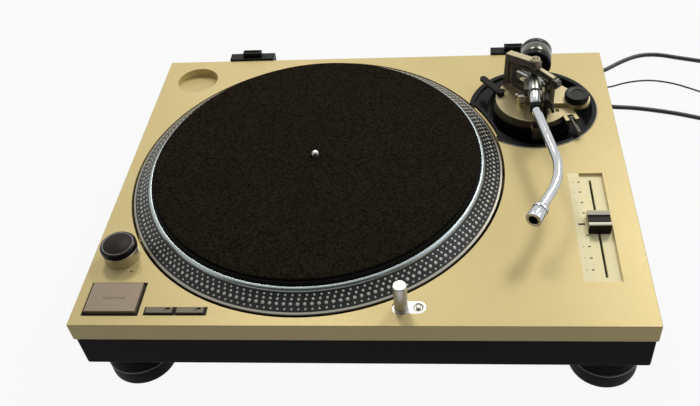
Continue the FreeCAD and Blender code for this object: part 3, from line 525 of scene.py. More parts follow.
@dataclass
class Studio:
    """The camera at the photograph's angle, the pale floor and the lamps."""

    eye: Point = (73.66, -559.5, 502.92)
    focal: float = 834.786
    middle: tuple[float, float] = (382.33, 200.05)
    picture: tuple[int, int] = (700, 406)
    turn: Point = (2.338628910, 0.029836735, -0.103141568)
    room_level: float = 0.42
    floor_glow: float = 0.93

    def camera(self) -> None:
        """Sets up the camera."""
        data = bpy.data.cameras.new("camera")
        made = bpy.data.objects.new("camera", data)
        bpy.context.collection.objects.link(made)
        wide, high = self.picture
        data.sensor_width = 36.0
        data.lens = self.focal / wide * 36.0
        data.shift_x = (wide / 2 - self.middle[0]) / wide
        data.shift_y = (self.middle[1] - high / 2) / wide
        data.clip_start, data.clip_end = 0.01, 100.0
        axis = Vector(self.turn)
        seen = Matrix.Rotation(axis.length, 3, axis.normalized())
        looking = Matrix((seen[0], -Vector(seen[1]), -Vector(seen[2]))).transposed()
        made.matrix_world = Matrix.Translation(deck(*self.eye)) @ looking.to_4x4()
        bpy.context.scene.camera = made

    @staticmethod
    def seen_white(tree: bpy.types.NodeTree) -> bpy.types.NodeSocket:
        """Tells where the camera, gloss or glass looks straight at a surface.

        Args:
            tree: The node tree to add to.

        Returns:
            1 for such a look, else 0.
        """
        path = tree.nodes.new("ShaderNodeLightPath")
        total = path.outputs["Is Camera Ray"]
        for name in ("Is Glossy Ray", "Is Transmission Ray"):
            add = tree.nodes.new("ShaderNodeMath")
            add.operation = "ADD"
            add.use_clamp = True
            tree.links.new(total, add.inputs[0])
            tree.links.new(path.outputs[name], add.inputs[1])
            total = add.outputs[0]
        return total

    def floor(self) -> None:
        """Lays the pale floor, nearly white to the eye but still shadowed."""
        bpy.ops.mesh.primitive_plane_add(size=12.0, location=(0, 0, 0))
        floor = bpy.context.object
        floor.name = "floor"
        paper = bpy.data.materials.new("floor_paper")
        paper.use_nodes = True
        tree = paper.node_tree
        shader = tree.nodes["Principled BSDF"]
        shader.inputs["Roughness"].default_value = 0.8
        shader.inputs["Base Color"].default_value = (0.34, 0.34, 0.33, 1.0)
        glow = tree.nodes.new("ShaderNodeEmission")
        glow.inputs[0].default_value = (1.0, 1.0, 1.0, 1.0)
        glow.inputs[1].default_value = 1.0
        share = tree.nodes.new("ShaderNodeMath")
        share.operation = "MULTIPLY"
        share.inputs[1].default_value = self.floor_glow
        tree.links.new(self.seen_white(tree), share.inputs[0])
        mixed = tree.nodes.new("ShaderNodeMixShader")
        tree.links.new(share.outputs[0], mixed.inputs[0])
        tree.links.new(shader.outputs[0], mixed.inputs[1])
        tree.links.new(glow.outputs[0], mixed.inputs[2])
        tree.links.new(mixed.outputs[0], tree.nodes["Material Output"].inputs["Surface"])
        floor.data.materials.append(paper)

    def room(self) -> None:
        """Makes the room plain, white where it is looked at."""
        world = bpy.data.worlds.new("room")
        bpy.context.scene.world = world
        world.use_nodes = True
        tree = world.node_tree
        background = tree.nodes["Background"]
        background.inputs[0].default_value = (1.0, 1.0, 1.0, 1.0)
        level = tree.nodes.new("ShaderNodeMapRange")
        level.inputs[3].default_value = self.room_level
        level.inputs[4].default_value = 1.0
        tree.links.new(self.seen_white(tree), level.inputs[0])
        tree.links.new(level.outputs[0], background.inputs[1])

    def dark_side(self) -> None:
        """Stands a dark screen in front of the deck, which the camera doesn't see, as an unlit room does."""
        bpy.ops.mesh.primitive_plane_add(size=1.0, location=(0.1, -1.15, 0.75))
        screen = bpy.context.object
        screen.name = "dark_screen"
        screen.rotation_euler = (math.radians(90), 0, 0)
        screen.scale = (3.4, 1.5, 1.0)
        screen.visible_camera = False
        cloth = bpy.data.materials.new("screen_cloth")
        cloth.use_nodes = True
        shader = cloth.node_tree.nodes["Principled BSDF"]
        shader.inputs["Base Color"].default_value = (0.02, 0.018, 0.016, 1.0)
        shader.inputs["Roughness"].default_value = 0.9
        screen.data.materials.append(cloth)

    def lamp(self, name: str, at: Point, aim: Point, size: float, power: float, colour: Colour) -> None:
        """Adds an area lamp.

        Args:
            name: The lamp's name.
            at: Where it hangs, in metres.
            aim: What it faces, in metres.
            size: The side of its square, in metres.
            power: Its power in watts.
            colour: Its colour.
        """
        data = bpy.data.lights.new(name, "AREA")
        data.size = size
        data.energy = power
        data.color = colour
        made = bpy.data.objects.new(name, data)
        bpy.context.collection.objects.link(made)
        made.location = at
        made.rotation_mode = "QUATERNION"
        made.rotation_quaternion = (Vector(aim) - Vector(at)).to_track_quat("-Z", "Y")

    def build(self) -> None:
        """Sets the whole studio."""
        self.camera()
        self.floor()
        self.room()
        self.dark_side()
        self.lamp("key", (-0.45, 1.3, 1.8), (0, 0, 0.08), 0.45, 13.0, (1.0, 0.94, 0.82))
        self.lamp("second_key", (0.85, 1.15, 1.5), (0.05, 0, 0.08), 0.45, 14.0, (1.0, 0.96, 0.86))
        self.lamp("fill", (1.4, 0.1, 1.2), (0, 0, 0.08), 0.8, 4.0, (0.86, 0.93, 1.0))
        bpy.context.scene.view_settings.view_transform = "Standard"


CHAMPAGNE = Finish("champagne_paint", (0.59, 0.485, 0.225), (0.545, 0.445, 0.205), 0.42, 0.2, size=0.8,
                   spread=0.05, relief=0.006, contrast=0.4, specular=0.35, worn=0.3)
TRAY_BLACK = Finish("tray_black", (0.004, 0.004, 0.0045), (0.008, 0.008, 0.0085), 0.55, size=0.6, relief=0.03,
                    specular=0.05)
MOULDED_BLACK = Finish("moulded_black", (0.006, 0.0055, 0.005), (0.011, 0.010, 0.009), 0.42, size=0.5,
                       relief=0.01, specular=0.12)
KNOB_BLACK = Finish("knob_black", (0.009, 0.006, 0.005), (0.014, 0.010, 0.008), 0.42, size=0.6,
                    relief=0.006, specular=0.12)
GLOSS_BLACK = Finish("gloss_black", (0.003, 0.003, 0.003), (0.005, 0.005, 0.005), 0.2, size=4.0,
                     spread=0.04, relief=0.002, specular=0.16)
FOOT_BLACK = Finish("foot_black", (0.004, 0.004, 0.004), (0.008, 0.008, 0.008), 0.6, size=0.8, relief=0.02,
                    specular=0.06)
FOOT_GREY = Finish("foot_grey", (0.2, 0.2, 0.2), (0.25, 0.25, 0.25), 0.5, size=0.8, relief=0.01)
BRIGHT_STEEL = Finish("bright_steel", (0.52, 0.49, 0.40), (0.42, 0.40, 0.33), 0.33, 0.9, Grain.RINGS,
                      0.25, relief=0.004, centre=(-0.201, -0.111, 0.0))
PLAIN_STEEL = Finish("plain_steel", (0.5, 0.49, 0.46), (0.42, 0.41, 0.39), 0.32, 0.9, size=0.4,
                     relief=0.004)
TURNED_ALLOY = Finish("turned_alloy", (0.42, 0.48, 0.5), (0.33, 0.38, 0.40), 0.3, 0.85, Grain.RINGS,
                      0.3, relief=0.003, centre=PLATTER_CENTRE, worn=0.5)
LIP_ALLOY = Finish("lip_alloy", (0.36, 0.34, 0.29), (0.28, 0.265, 0.23), 0.34, 0.75, Grain.RINGS,
                   0.3, relief=0.003, centre=PLATTER_CENTRE)
# Black of the strobe slope, also painted shade on the platter's outer wall in the deep gap round it
STROBE_BLACK_AND_GAP_SHADE = Finish("strobe_black_and_gap_shade", (0.005, 0.006, 0.006), (0.009, 0.01, 0.01), 0.38, 0.0, Grain.RINGS,
                      0.5, relief=0.004, specular=0.3, centre=PLATTER_CENTRE)
DOT_SILVER = Finish("dot_silver", (0.50, 0.50, 0.46), (0.42, 0.42, 0.39), 0.4, 0.3, size=0.4)
CHROME = Finish("chrome_plate", (0.56, 0.575, 0.59), (0.50, 0.515, 0.53), 0.1, 1.0, size=8.0, spread=0.03,
                relief=0.001)
CAP_SILVER = Finish("cap_silver", (0.30, 0.24, 0.175), (0.255, 0.205, 0.15), 0.42, 0.3, Grain.ALONG_X,
                    0.2, relief=0.004, specular=0.35, worn=0.4)
CAP_DARK = Finish("cap_dark", (0.15, 0.125, 0.092), (0.125, 0.105, 0.078), 0.42, 0.3, Grain.ALONG_X,
                  0.2, relief=0.004, specular=0.3, worn=0.3)
FELT = Finish("felt", (0.0022, 0.0018, 0.0012), (0.030, 0.025, 0.018), 1.0, size=1.6, contrast=0.5,
              spread=0.0, relief=0.25, specular=0.0, worn=0.5)
MAT_RUBBER = Finish("mat_rubber", (0.004, 0.004, 0.004), (0.008, 0.008, 0.008), 0.7, size=0.8,
                    specular=0.06)
PANEL_CREAM = Finish("panel_cream", (0.88, 0.80, 0.50), (0.84, 0.76, 0.47), 0.5, 0.0, size=0.6,
                     spread=0.05, relief=0.006, specular=0.3)
TURRET_OLIVE = Finish("turret_olive", (0.40, 0.345, 0.20), (0.47, 0.405, 0.24), 0.36, 0.9, size=0.5,
                      relief=0.01, specular=0.3, worn=0.4)
YOKE_GREY = Finish("yoke_grey", (0.15, 0.13, 0.10), (0.18, 0.155, 0.12), 0.4, 0.6, size=0.4, relief=0.01,
                   specular=0.3, worn=0.4)
# Pale as painted highlight on the lit tops of the gimbal support, its screw cap and its boss
YOKE_PAINTED_HIGHLIGHT = Finish("yoke_painted_highlight", (0.56, 0.485, 0.31), (0.46, 0.40, 0.255), 0.5, 0.15, Grain.ALONG_X, 0.3,
                  relief=0.01)
GIMBAL_GREY = Finish("gimbal_grey", (0.062, 0.062, 0.048), (0.09, 0.088, 0.068), 0.4, 0.5, size=0.5,
                     relief=0.01, specular=0.3)
HOLDER_DARK = Finish("holder_dark", (0.20, 0.205, 0.185), (0.25, 0.255, 0.23), 0.24, 1.0, size=0.6,
                     relief=0.004, spread=0.05)
WEIGHT_BAND = Finish("weight_band", (0.13, 0.13, 0.108), (0.10, 0.10, 0.085), 0.2, 1.0, size=0.8,
                     relief=0.003, spread=0.05)
WEIGHT_REAR = Finish("weight_rear", (0.022, 0.022, 0.017), (0.032, 0.032, 0.024), 0.35, 0.6, size=0.6,
                     relief=0.006)
COPPER = Finish("copper_wire", (0.5, 0.22, 0.1), (0.4, 0.17, 0.08), 0.35, 1.0, Grain.SPECKLE, 0.4)
BOARD_GREEN = Finish("board_green", (0.02, 0.10, 0.05), (0.03, 0.13, 0.06), 0.5, size=2.0)
MAGNET = Finish("magnet_black", (0.05, 0.05, 0.05), (0.08, 0.08, 0.08), 0.6, 0.2, size=0.5)
LAMP_LENS = Finish("lamp_lens", (0.06, 0.02, 0.014), (0.05, 0.016, 0.012), 0.2, size=2.0, coat=0.5)
PRINT_BLACK = Finish("print_black", (0.012, 0.011, 0.009), (0.018, 0.016, 0.014), 0.6, size=0.4,
                     specular=0.2)
PRINT_GREY = Finish("print_grey", (0.09, 0.075, 0.055), (0.12, 0.10, 0.075), 0.6, size=0.4, specular=0.1)
# White of the lift pad, also used as painted highlight along the pitch knob's grip and front corner
WHITE_PAD_AND_HIGHLIGHT = Finish("white_pad_and_highlight", (0.80, 0.77, 0.66), (0.74, 0.71, 0.6), 0.5, size=0.6, specular=0.3)
STEEL_GREY = Finish("steel_grey", (0.3, 0.3, 0.29), (0.36, 0.36, 0.35), 0.35, 0.9, size=0.6, relief=0.005)
BRASS_PIN = Finish("brass_pin", (0.65, 0.48, 0.2), (0.55, 0.4, 0.17), 0.3, 1.0, size=0.4)
DIAL_TOP = Finish("dial_top", (0.016, 0.016, 0.014), (0.028, 0.028, 0.025), 0.3, 0.6, Grain.RINGS, 0.25,
                  relief=0.02, specular=0.3, centre=(0.1916, 0.078, 0.0))
# The pitch knob's beige, darker than the panel's cream; on the knob's ends and front corner it is painted
# shade
PANEL_SHADE = Finish("panel_shade", (0.45, 0.40, 0.27), (0.41, 0.37, 0.25), 0.45, 0.1, Grain.ALONG_X, 0.3,
                     relief=0.01, specular=0.3)


@dataclass
class Drive:
    """The platter with its strobe dots, the felt slipmat and what turns with them."""

    lip: float = 166.2
    slope_low: Pair = (164.3, 1.1)
    slope_high: Pair = (151.2, 9.3)
    bed: float = 9.5
    felt_radius: float = 144.5
    felt_low: float = 15.0
    felt_high: float = 17.35
    rows: tuple[tuple[float, int, float], ...] = ((162.3, 186, 1.7), (158.9, 180, 2.8), (155.7, 175, 2.1),
                                                  (153.0, 170, 1.8))

    def platter(self) -> None:
        """Turns the platter and sets its dots on the slope."""
        piece = Piece("platter_turned", "platter", "platter")
        place = upright(*PLATTER_AT)
        outline = [(3.57, -8), (14, -8), (14, 3), (49, 3), (49, -10), (60, -10), (60, 3), (158, 3),
                   (158, -15), (165.7, -15), (self.lip, -14.5), (self.lip, -0.4), (self.lip, 0.1),
                   (165.9, 0.5), (164.9, 0.9), self.slope_low, self.slope_high, (151.0, 9.5), (150.9, 10.0),
                   (150.5, 10.9), (149.8, 11.8), (149.1, 12.3), (148.4, 12.45), (147.7, 12.3), (147.5, 11.9),
                   (147.5, self.bed), (3.57, self.bed)]
        # Band 10, the outer side wall, is black as painted shade of the gap round the platter; bands 15 and
        # 16 are the black slope under the strobe dots
        bands = {10: STROBE_BLACK_AND_GAP_SHADE, 11: LIP_ALLOY, 12: LIP_ALLOY, 13: LIP_ALLOY, 14: LIP_ALLOY,
                 15: STROBE_BLACK_AND_GAP_SHADE, 16: STROBE_BLACK_AND_GAP_SHADE}
        piece.lathe(outline, TURNED_ALLOY, place, 240, bands, closed=True)
        rise = (self.slope_high[1] - self.slope_low[1]) / (self.slope_low[0] - self.slope_high[0])
        tilt = math.atan(rise)
        for row, (radius, count, wide) in enumerate(self.rows):
            height = self.slope_low[1] + (self.slope_low[0] - radius) * rise
            for k in range(count):
                turn = 360.0 * (k + 0.37 * row) / count
                at = place @ Matrix.Rotation(math.radians(turn), 4, "Z")
                at = at @ Matrix.Translation((radius, 0, height)) @ Matrix.Rotation(tilt, 4, "Y")
                piece.lathe([(wide / 2, 0.0), (wide * 0.42, 0.1), (0, 0.13)], DOT_SILVER, at, 10)
        piece.done(28)

    def slipmat(self) -> None:
        """Lays the felt with its soft edge and slight waves."""
        piece = Piece("slipmat_felt", "slipmat", "slipmat")
        place = upright(*PLATTER_AT)
        edge = self.felt_radius
        outline = [(4.2, self.felt_low), (edge - 0.7, self.felt_low), (edge, self.felt_low + 0.7),
                   (edge + 0.1, 16.4), (edge - 0.3, 17.0), (edge - 1.1, 17.3)]
        outline += [(edge - 1.1 - (edge - 6.3) * k / 44, self.felt_high) for k in range(1, 45)]
        outline += [(4.6, 17.1), (4.2, 16.7)]
        piece.lathe(outline, FELT, place, 180, closed=True)
        for vert in piece.mesh.verts:
            if vert.co.z > self.felt_high - 0.2:
                spot = Vector((vert.co.x / 26.0, vert.co.y / 26.0, 1.3))
                vert.co.z += 0.13 * noise.noise(spot) + 0.05 * noise.noise(spot * 5.0)
        felt = piece.done(50)

    def build(self) -> None:
        """Makes the turning pieces."""
        self.platter()
        self.slipmat()


@dataclass
class Lettering:
    """A few plain printed signs, each a thin layer on its surface."""

    thick: float = 0.05

    def word(self, name: str, text: str, at: Point, size: float, body: str, finish: Finish,
             turn: float = 0.0) -> None:
        """Prints a plain word or number flat on a level surface.

        Args:
            name: The piece's name.
            text: What is printed.
            at: The middle of the print in millimetres.
            size: The height of its letters.
            body: What it rides on.
            finish: The ink.
            turn: Its turn in degrees.
        """
        data = bpy.data.curves.new(name, "FONT")
        data.body = text
        data.size = size * 1.35
        data.align_x, data.align_y = "CENTER", "CENTER"
        data.extrude = self.thick / 2
        data.resolution_u = 3
        made = bpy.data.objects.new(name + "_line", data)
        bpy.context.collection.objects.link(made)
        bpy.context.view_layer.update()
        flat = bpy.data.meshes.new_from_object(made.evaluated_get(bpy.context.evaluated_depsgraph_get()))
        bpy.data.objects.remove(made)
        own = bmesh.new()
        own.from_mesh(flat)
        piece = Piece(name, body)
        index = piece.coat(finish)
        for face in own.faces:
            face.material_index = index
        piece.merge(own, upright(at[0], at[1], at[2] + self.thick / 2, turn))
        piece.done()

    def marks(self, name: str, spots: list[tuple[float, float, float, float]], z: float, body: str,
              finish: Finish) -> None:
        """Prints small bars.

        Args:
            name: The piece's name.
            spots: Middle x, middle y, width and height of each bar.
            z: The surface's height.
            body: What it rides on.
            finish: The ink.
        """
        piece = Piece(name, body)
        for x, y, wide, high in spots:
            outline = box_outline(-wide / 2, wide / 2, -high / 2, high / 2)
            piece.plate(outline, z, z + self.thick, finish, upright(x, y), edge=0)
        piece.done()


@dataclass
class Controls:
    """The knobs, buttons, their signs and the pitch slider."""

    tower: Pair = (-201.0, -105.0)
    fader: Pair = (193.3, -71.0)
    ticks: tuple[float, ...] = (-20.0, -32.5, -45.3, -58.0, -83.5, -96.0, -108.5, -121.0)
    bar_x: float = 182.9
    middle_bar_x: float = 179.7
    number_x: float = 178.0
    knob_ends: Pair = (184.1, 202.5)
    print: Lettering = field(default_factory=Lettering)

    def power_knob(self) -> None:
        """Turns the power knob with its bright fine line."""
        piece = Piece("power_knob_turned", "power_knob", "power_knob")
        place = upright(*self.tower)
        outline = [(0, -30), (3, -30), (3, 11.3), (14.7, 11.3), (15, 11.6), (15, 14.6), (14.8, 15.2),
                   (14.3, 15.8), (13.8, 16.2), (13.3, 16.45), (12.8, 16.5), (12.5, 16.3), (12.1, 16.3),
                   (11.8, 16.5), (0, 16.5)]
        bands = {k: GLOSS_BLACK for k in range(3, 10)}
        bands.update({10: FOOT_GREY, 11: FOOT_GREY})
        piece.lathe(outline, KNOB_BLACK, place, 96, bands)
        piece.done(35)

    def start_sign(self) -> None:
        """Prints the plain signs on the buttons and the turning mark beside the tower."""
        self.print.word("print_start_stop", "START STOP", (-194.6, -151.4, 2.8), 2.3, "start_stop_button",
                        PRINT_GREY)
        self.print.word("print_33", "33", (-151.0, -162.2, 1.8), 2.2, "speed_button_33", PRINT_BLACK)
        self.print.word("print_45", "45", (-126.2, -162.2, 1.8), 2.2, "speed_button_45", PRINT_BLACK)
        dot = Piece("print_tower_dot", "cabinet")
        dot.lathe([(0.85, 0.0), (0.85, 0.05), (0, 0.05)], PRINT_BLACK, upright(-189.2, -121.2), 20)
        for k in range(7):
            turn = math.radians(-50 + 16 * k)
            spot = upright(-184.5 + 3.4 * math.cos(turn), -121.0 + 3.4 * math.sin(turn), 0,
                           math.degrees(turn))
            dot.plate(box_outline(-0.12, 0.12, -0.3, 0.3), 0, 0.05, PRINT_GREY, spot, edge=0)
        dot.done()

    def pitch_print(self) -> None:
        """Prints the pitch scale: short bars, a long one at the middle and plain numbers."""
        middle = self.fader[1]
        spots = [(self.bar_x, y, 2.1, 1.15) for y in self.ticks]
        spots.append((self.middle_bar_x, middle, 5.6, 1.9))
        self.print.marks("print_pitch_bars", spots, 0.0, "cabinet", PRINT_BLACK)
        for number, y in zip("86422468", self.ticks):
            side = "minus" if y > middle else "plus"
            self.print.word("print_pitch_%s_%s" % (side, number), number, (self.number_x, y, 0), 1.5,
                            "cabinet", PRINT_GREY)

    def pitch_knob(self) -> None:
        """Forms the slider's knob with its hollow dark grip between pale lines of painted highlight, and
        painted shade on its ends and front.
        """
        piece = Piece("pitch_knob_formed", "pitch_knob", "pitch_knob")
        grip = []
        for k in range(13):
            y = 6.6 - 13.2 * k / 12
            grip.append((y, 16.8 - math.sqrt(121 - y * y)))
        profile = [(-8.75, -2.5), (8.75, -2.5), (8.75, 7.0), (8.55, 7.6), (7.9, 8.0)] + grip
        profile += [(-7.9, 8.0), (-8.55, 7.6), (-8.75, 7.0)]
        # Bands 5, 6 and 15 to 18 are white as painted highlight on the grip's edges and the front corner; the
        # front face keeps the plain black as painted shade at the knob's foot
        bands = {1: PANEL_SHADE, 2: PANEL_SHADE, 3: PANEL_SHADE, 4: PANEL_SHADE, 5: WHITE_PAD_AND_HIGHLIGHT, 6: WHITE_PAD_AND_HIGHLIGHT}
        bands.update({k: KNOB_BLACK for k in range(7, 15)})
        bands.update({15: WHITE_PAD_AND_HIGHLIGHT, 16: WHITE_PAD_AND_HIGHLIGHT, 17: WHITE_PAD_AND_HIGHLIGHT, 18: WHITE_PAD_AND_HIGHLIGHT, 19: PANEL_SHADE})
        index = {k: piece.coat(f) for k, f in bands.items()}
        plain = piece.coat(KNOB_BLACK)
        ends = [[piece.mesh.verts.new((x, self.fader[1] + y, z)) for y, z in profile]
                for x in self.knob_ends]
        count = len(profile)
        for k in range(count):
            corners = [ends[0][k], ends[0][(k + 1) % count], ends[1][(k + 1) % count], ends[1][k]]
            piece.mesh.faces.new(corners).material_index = index.get(k, plain)
        for end in ends:
            piece.mesh.faces.new(end).material_index = piece.coat(PANEL_SHADE)
        piece.plate(box_outline(-0.8, 0.8, -4, 4), -12, -2.5, KNOB_BLACK, upright(*self.fader), edge=0)
        piece.done(30)

    def build(self) -> None:
        """Makes the controls."""
        self.power_knob()
        self.start_sign()
        self.pitch_print()
        self.pitch_knob()


@dataclass
class Feet:
    """The four damped feet with their ribbed skirts."""

    along: float = 197.9
    deep: float = 138.5
    ribs: int = 7

    def build(self) -> None:
        """Turns each foot with its pale ring."""
        wall = [(28.5, -79.0), (28.7, -79.0), (28.7, -78.0), (27.5, -78.0), (27.5, -77.2)]
        for k in range(self.ribs):
            z = -77.0 + 2.2 * k
            wall += [(27.7, z), (28.0, z + 0.4), (28.0, z + 1.5), (27.7, z + 1.9)]
        outline = [(0, -94), (27.6, -94), (28.3, -93.7), (28.5, -93.0)] + wall
        outline += [(27.7, -61), (27, -59), (25.6, -56.4), (24, -54.7), (23.2, -54.5), (14, -54.5), (14, -52),
                    (4, -52), (4, -34), (0, -34)]
        for name, x, y in (("foot_front_left", -1, -1), ("foot_front_right", 1, -1),
                           ("foot_rear_left", -1, 1), ("foot_rear_right", 1, 1)):
            piece = Piece(name + "_turned", name, name)
            place = upright(x * self.along, y * self.deep)
            piece.lathe(outline, FOOT_BLACK, place, 96, {4: FOOT_GREY, 5: FOOT_GREY, 6: FOOT_GREY})
            piece.done(30)


@dataclass
class Tonearm:
    """The S-shaped tube, its holder, the headshell's collar and the counterweight."""

    front: float = -3.0
    end: float = -28.0
    rear: float = -6.5
    tube_r: float = 4.25
    hub_r: float = 6.9
    collar_at: Point = (144.2, -84.2, TUBE_Z)
    collar_long: float = 17.3
    socket_r: float = 4.1
    bends: Pair = (38.0, 74.0)

    def path(self) -> list[Vector]:
        """The tube's middle line: three runs and two tangent arcs between them."""
        centre = Vector((*PIVOT, TUBE_Z))
        way, end_way, at = heading(self.front), heading(self.end), Vector(self.collar_at)
        corners = [centre + way * 22, centre + way * 43.8, at - end_way * 43.1, at + end_way * 9.0]
        line = [corners[0]]
        for before, corner, after, r in zip(corners, corners[1:], corners[2:], self.bends):
            a, b = (before - corner).normalized(), (after - corner).normalized()
            half = a.angle(b) / 2
            middle = corner + (a + b).normalized() * (r / math.sin(half))
            first, last = corner + a * (r / math.tan(half)), corner + b * (r / math.tan(half))
            sweep = math.pi - 2 * half
            axis = (first - middle).cross(last - middle).normalized()
            for k in range(25):
                line.append(middle + Matrix.Rotation(sweep * k / 24, 3, axis) @ (first - middle))
        return line + [corners[3]]

    def tube(self) -> None:
        """Bends the chrome tube and sets the contact block in its open end."""
        piece = Piece("arm_tube_bent", "tonearm", "arm_tube")
        piece.sweep(self.path(), self.tube_r, CHROME, 40)
        mouth = facing(Vector(self.collar_at) + heading(self.end) * 9.0, heading(self.end))
        piece.lathe([(3.6, 0.0), (3.6, 0.8), (3.3, 1.1), (0, 1.1)], MOULDED_BLACK, mouth, 32)
        for sx, sy in ((1, 1), (1, -1), (-1, 1), (-1, -1)):
            pin = mouth @ Matrix.Translation((1.35 * sx, 1.35 * sy, 0))
            piece.lathe([(0.5, 0.9), (0.5, 1.7), (0.3, 1.9), (0, 1.9)], BRASS_PIN, pin, 12)
        piece.done()

    def collar(self) -> None:
        """Turns the locking collar of the headshell with its knurled ring."""
        piece = Piece("headshell_collar_turned", "headshell_collar", "headshell_collar")
        place = facing(Vector(self.collar_at), heading(self.end))
        long = self.collar_long
        outline = [(4.3, 0), (5.2, 0), (5.5, 0.2), (6.7, 2.2), (6.75, 2.5), (6.75, 5.3), (6.65, 5.5),
                   (6.4, 5.6), (6.4, 6.3), (6.65, 6.4), (6.75, 6.6), (6.75, long - 0.8), (6.6, long - 0.3),
                   (6.3, long), (4.3, long), (self.socket_r, long - 0.2), (self.socket_r, 9.3), (4.3, 9.3)]
        bands = {6: FOOT_BLACK, 7: FOOT_BLACK, 8: FOOT_BLACK, 15: FOOT_BLACK, 14: PLAIN_STEEL}
        piece.lathe(outline, CHROME, place, 72, bands, closed=True)
        for k in range(48):
            turn = place @ Matrix.Rotation(math.radians(7.5 * k), 4, "Z")
            ridge = turn @ Matrix.Translation((6.72, 0, 0))
            piece.plate(box_outline(-0.1, 0.06, -0.14, 0.14), long - 5.2, long - 1.2, CHROME, ridge, 0)
        piece.done()

    def holder(self) -> None:
        """Forms the pivot hub, its cone and sleeve, the side block, the black band and the rear shaft."""
        piece = Piece("tube_holder_formed", "tonearm", "tube_holder")
        line = on_arm(self.front)
        hub = [(0, -6), (6.3, -6), (6.7, -5.8), (self.hub_r, -5.4), (self.hub_r, 22.4), (6.8, 22.7),
               (6.5, 22.9), (5.1, 24.0), (4.9, 24.1), (4.8, 24.3), (4.8, 38.8), (4.6, 39), (4.3, 39)]
        bands = {6: PLAIN_STEEL, 7: PLAIN_STEEL, 8: PLAIN_STEEL, 9: CHROME, 10: CHROME, 11: CHROME}
        piece.lathe(hub, HOLDER_DARK, line, 72, bands)
        block = upright(*PIVOT, 0, self.front)
        piece.plate(box_outline(-9.6, 0, -22, -6), 29.7, 38.3, GIMBAL_GREY, block, 0.8, 3)
        back = facing(Vector((*PIVOT, TUBE_Z)), -heading(self.rear))
        piece.lathe([(4, 0), (4, 54.4), (3.6, 54.9), (0, 55)], STEEL_GREY, back, 40)
        across = Vector((math.cos(math.radians(YOKE_TURN)), math.sin(math.radians(YOKE_TURN)), 0))
        axle = facing(Vector((*PIVOT, TUBE_Z)), across)
        piece.lathe([(0, -23.5), (1.2, -23.5), (1.2, -19.2), (3, -19.2), (3, 14.7), (1.2, 14.7),
                     (1.2, 17.9), (0, 17.9)], PLAIN_STEEL, axle, 32)
        path = self.path()[1:26]
        piece.sweep(path[5:21], 5.3, FOOT_BLACK, 40)
        piece.done()

    def weights(self) -> None:
        """Turns the counterweight with its bright band, the bush in it and the pressure dial."""
        place = facing(Vector((*PIVOT, TUBE_Z)), -heading(self.rear))
        bush = Piece("counterweight_bush_turned", "counterweight_bush", "counterweight_bush")
        bush.lathe([(4.05, 29.5), (8, 29.5), (8, 44.5), (4.05, 44.5)], STEEL_GREY, place, 48, closed=True)
        bush.done()
        weight = Piece("counterweight_turned", "counterweight", "counterweight")
        outline = [(8.05, 28.2), (14.4, 28.2), (14.8, 28.35), (15, 28.8), (15, 40.5), (14.8, 40.8),
                   (14.4, 41), (14.4, 41.8), (14.8, 42), (15, 42.4), (15, 45.6), (14.8, 46.3), (14.2, 46.9),
                   (13.8, 47), (10, 47), (10, 45.2), (8.05, 45.2)]
        bands = {1: FOOT_BLACK, 2: FOOT_BLACK, 3: WEIGHT_BAND, 4: WEIGHT_BAND, 5: FOOT_BLACK,
                 6: FOOT_BLACK, 7: FOOT_BLACK}
        weight.lathe(outline, WEIGHT_REAR, place, 96, bands, closed=True)
        weight.done(40)
        dial = Piece("stylus_dial_turned", "stylus_pressure_dial", "stylus_pressure_dial")
        outline = [(4.35, 21.5), (13.2, 21.5), (13.7, 21.6), (14.2, 22.0), (14.9, 22.9), (15, 23.3),
                   (15, 27.8), (14.7, 28.1), (4.35, 28.1)]
        dial.lathe(outline, GLOSS_BLACK, place, 96, closed=True)
        for k in range(40):
            turn = place @ Matrix.Rotation(math.radians(9 * k), 4, "Z")
            longer = 1.1 if k % 5 == 0 else 0.6
            tick = turn @ Matrix.Translation((12.9 - longer / 2, 0, 0))
            dial.plate(box_outline(-longer / 2, longer / 2, -0.1, 0.1), 21.44, 21.5, PRINT_GREY, tick, 0)
        dial.done(40)

    def build(self) -> None:
        """Makes the tonearm's pieces."""
        self.tube()
        self.collar()
        self.holder()
        self.weights()


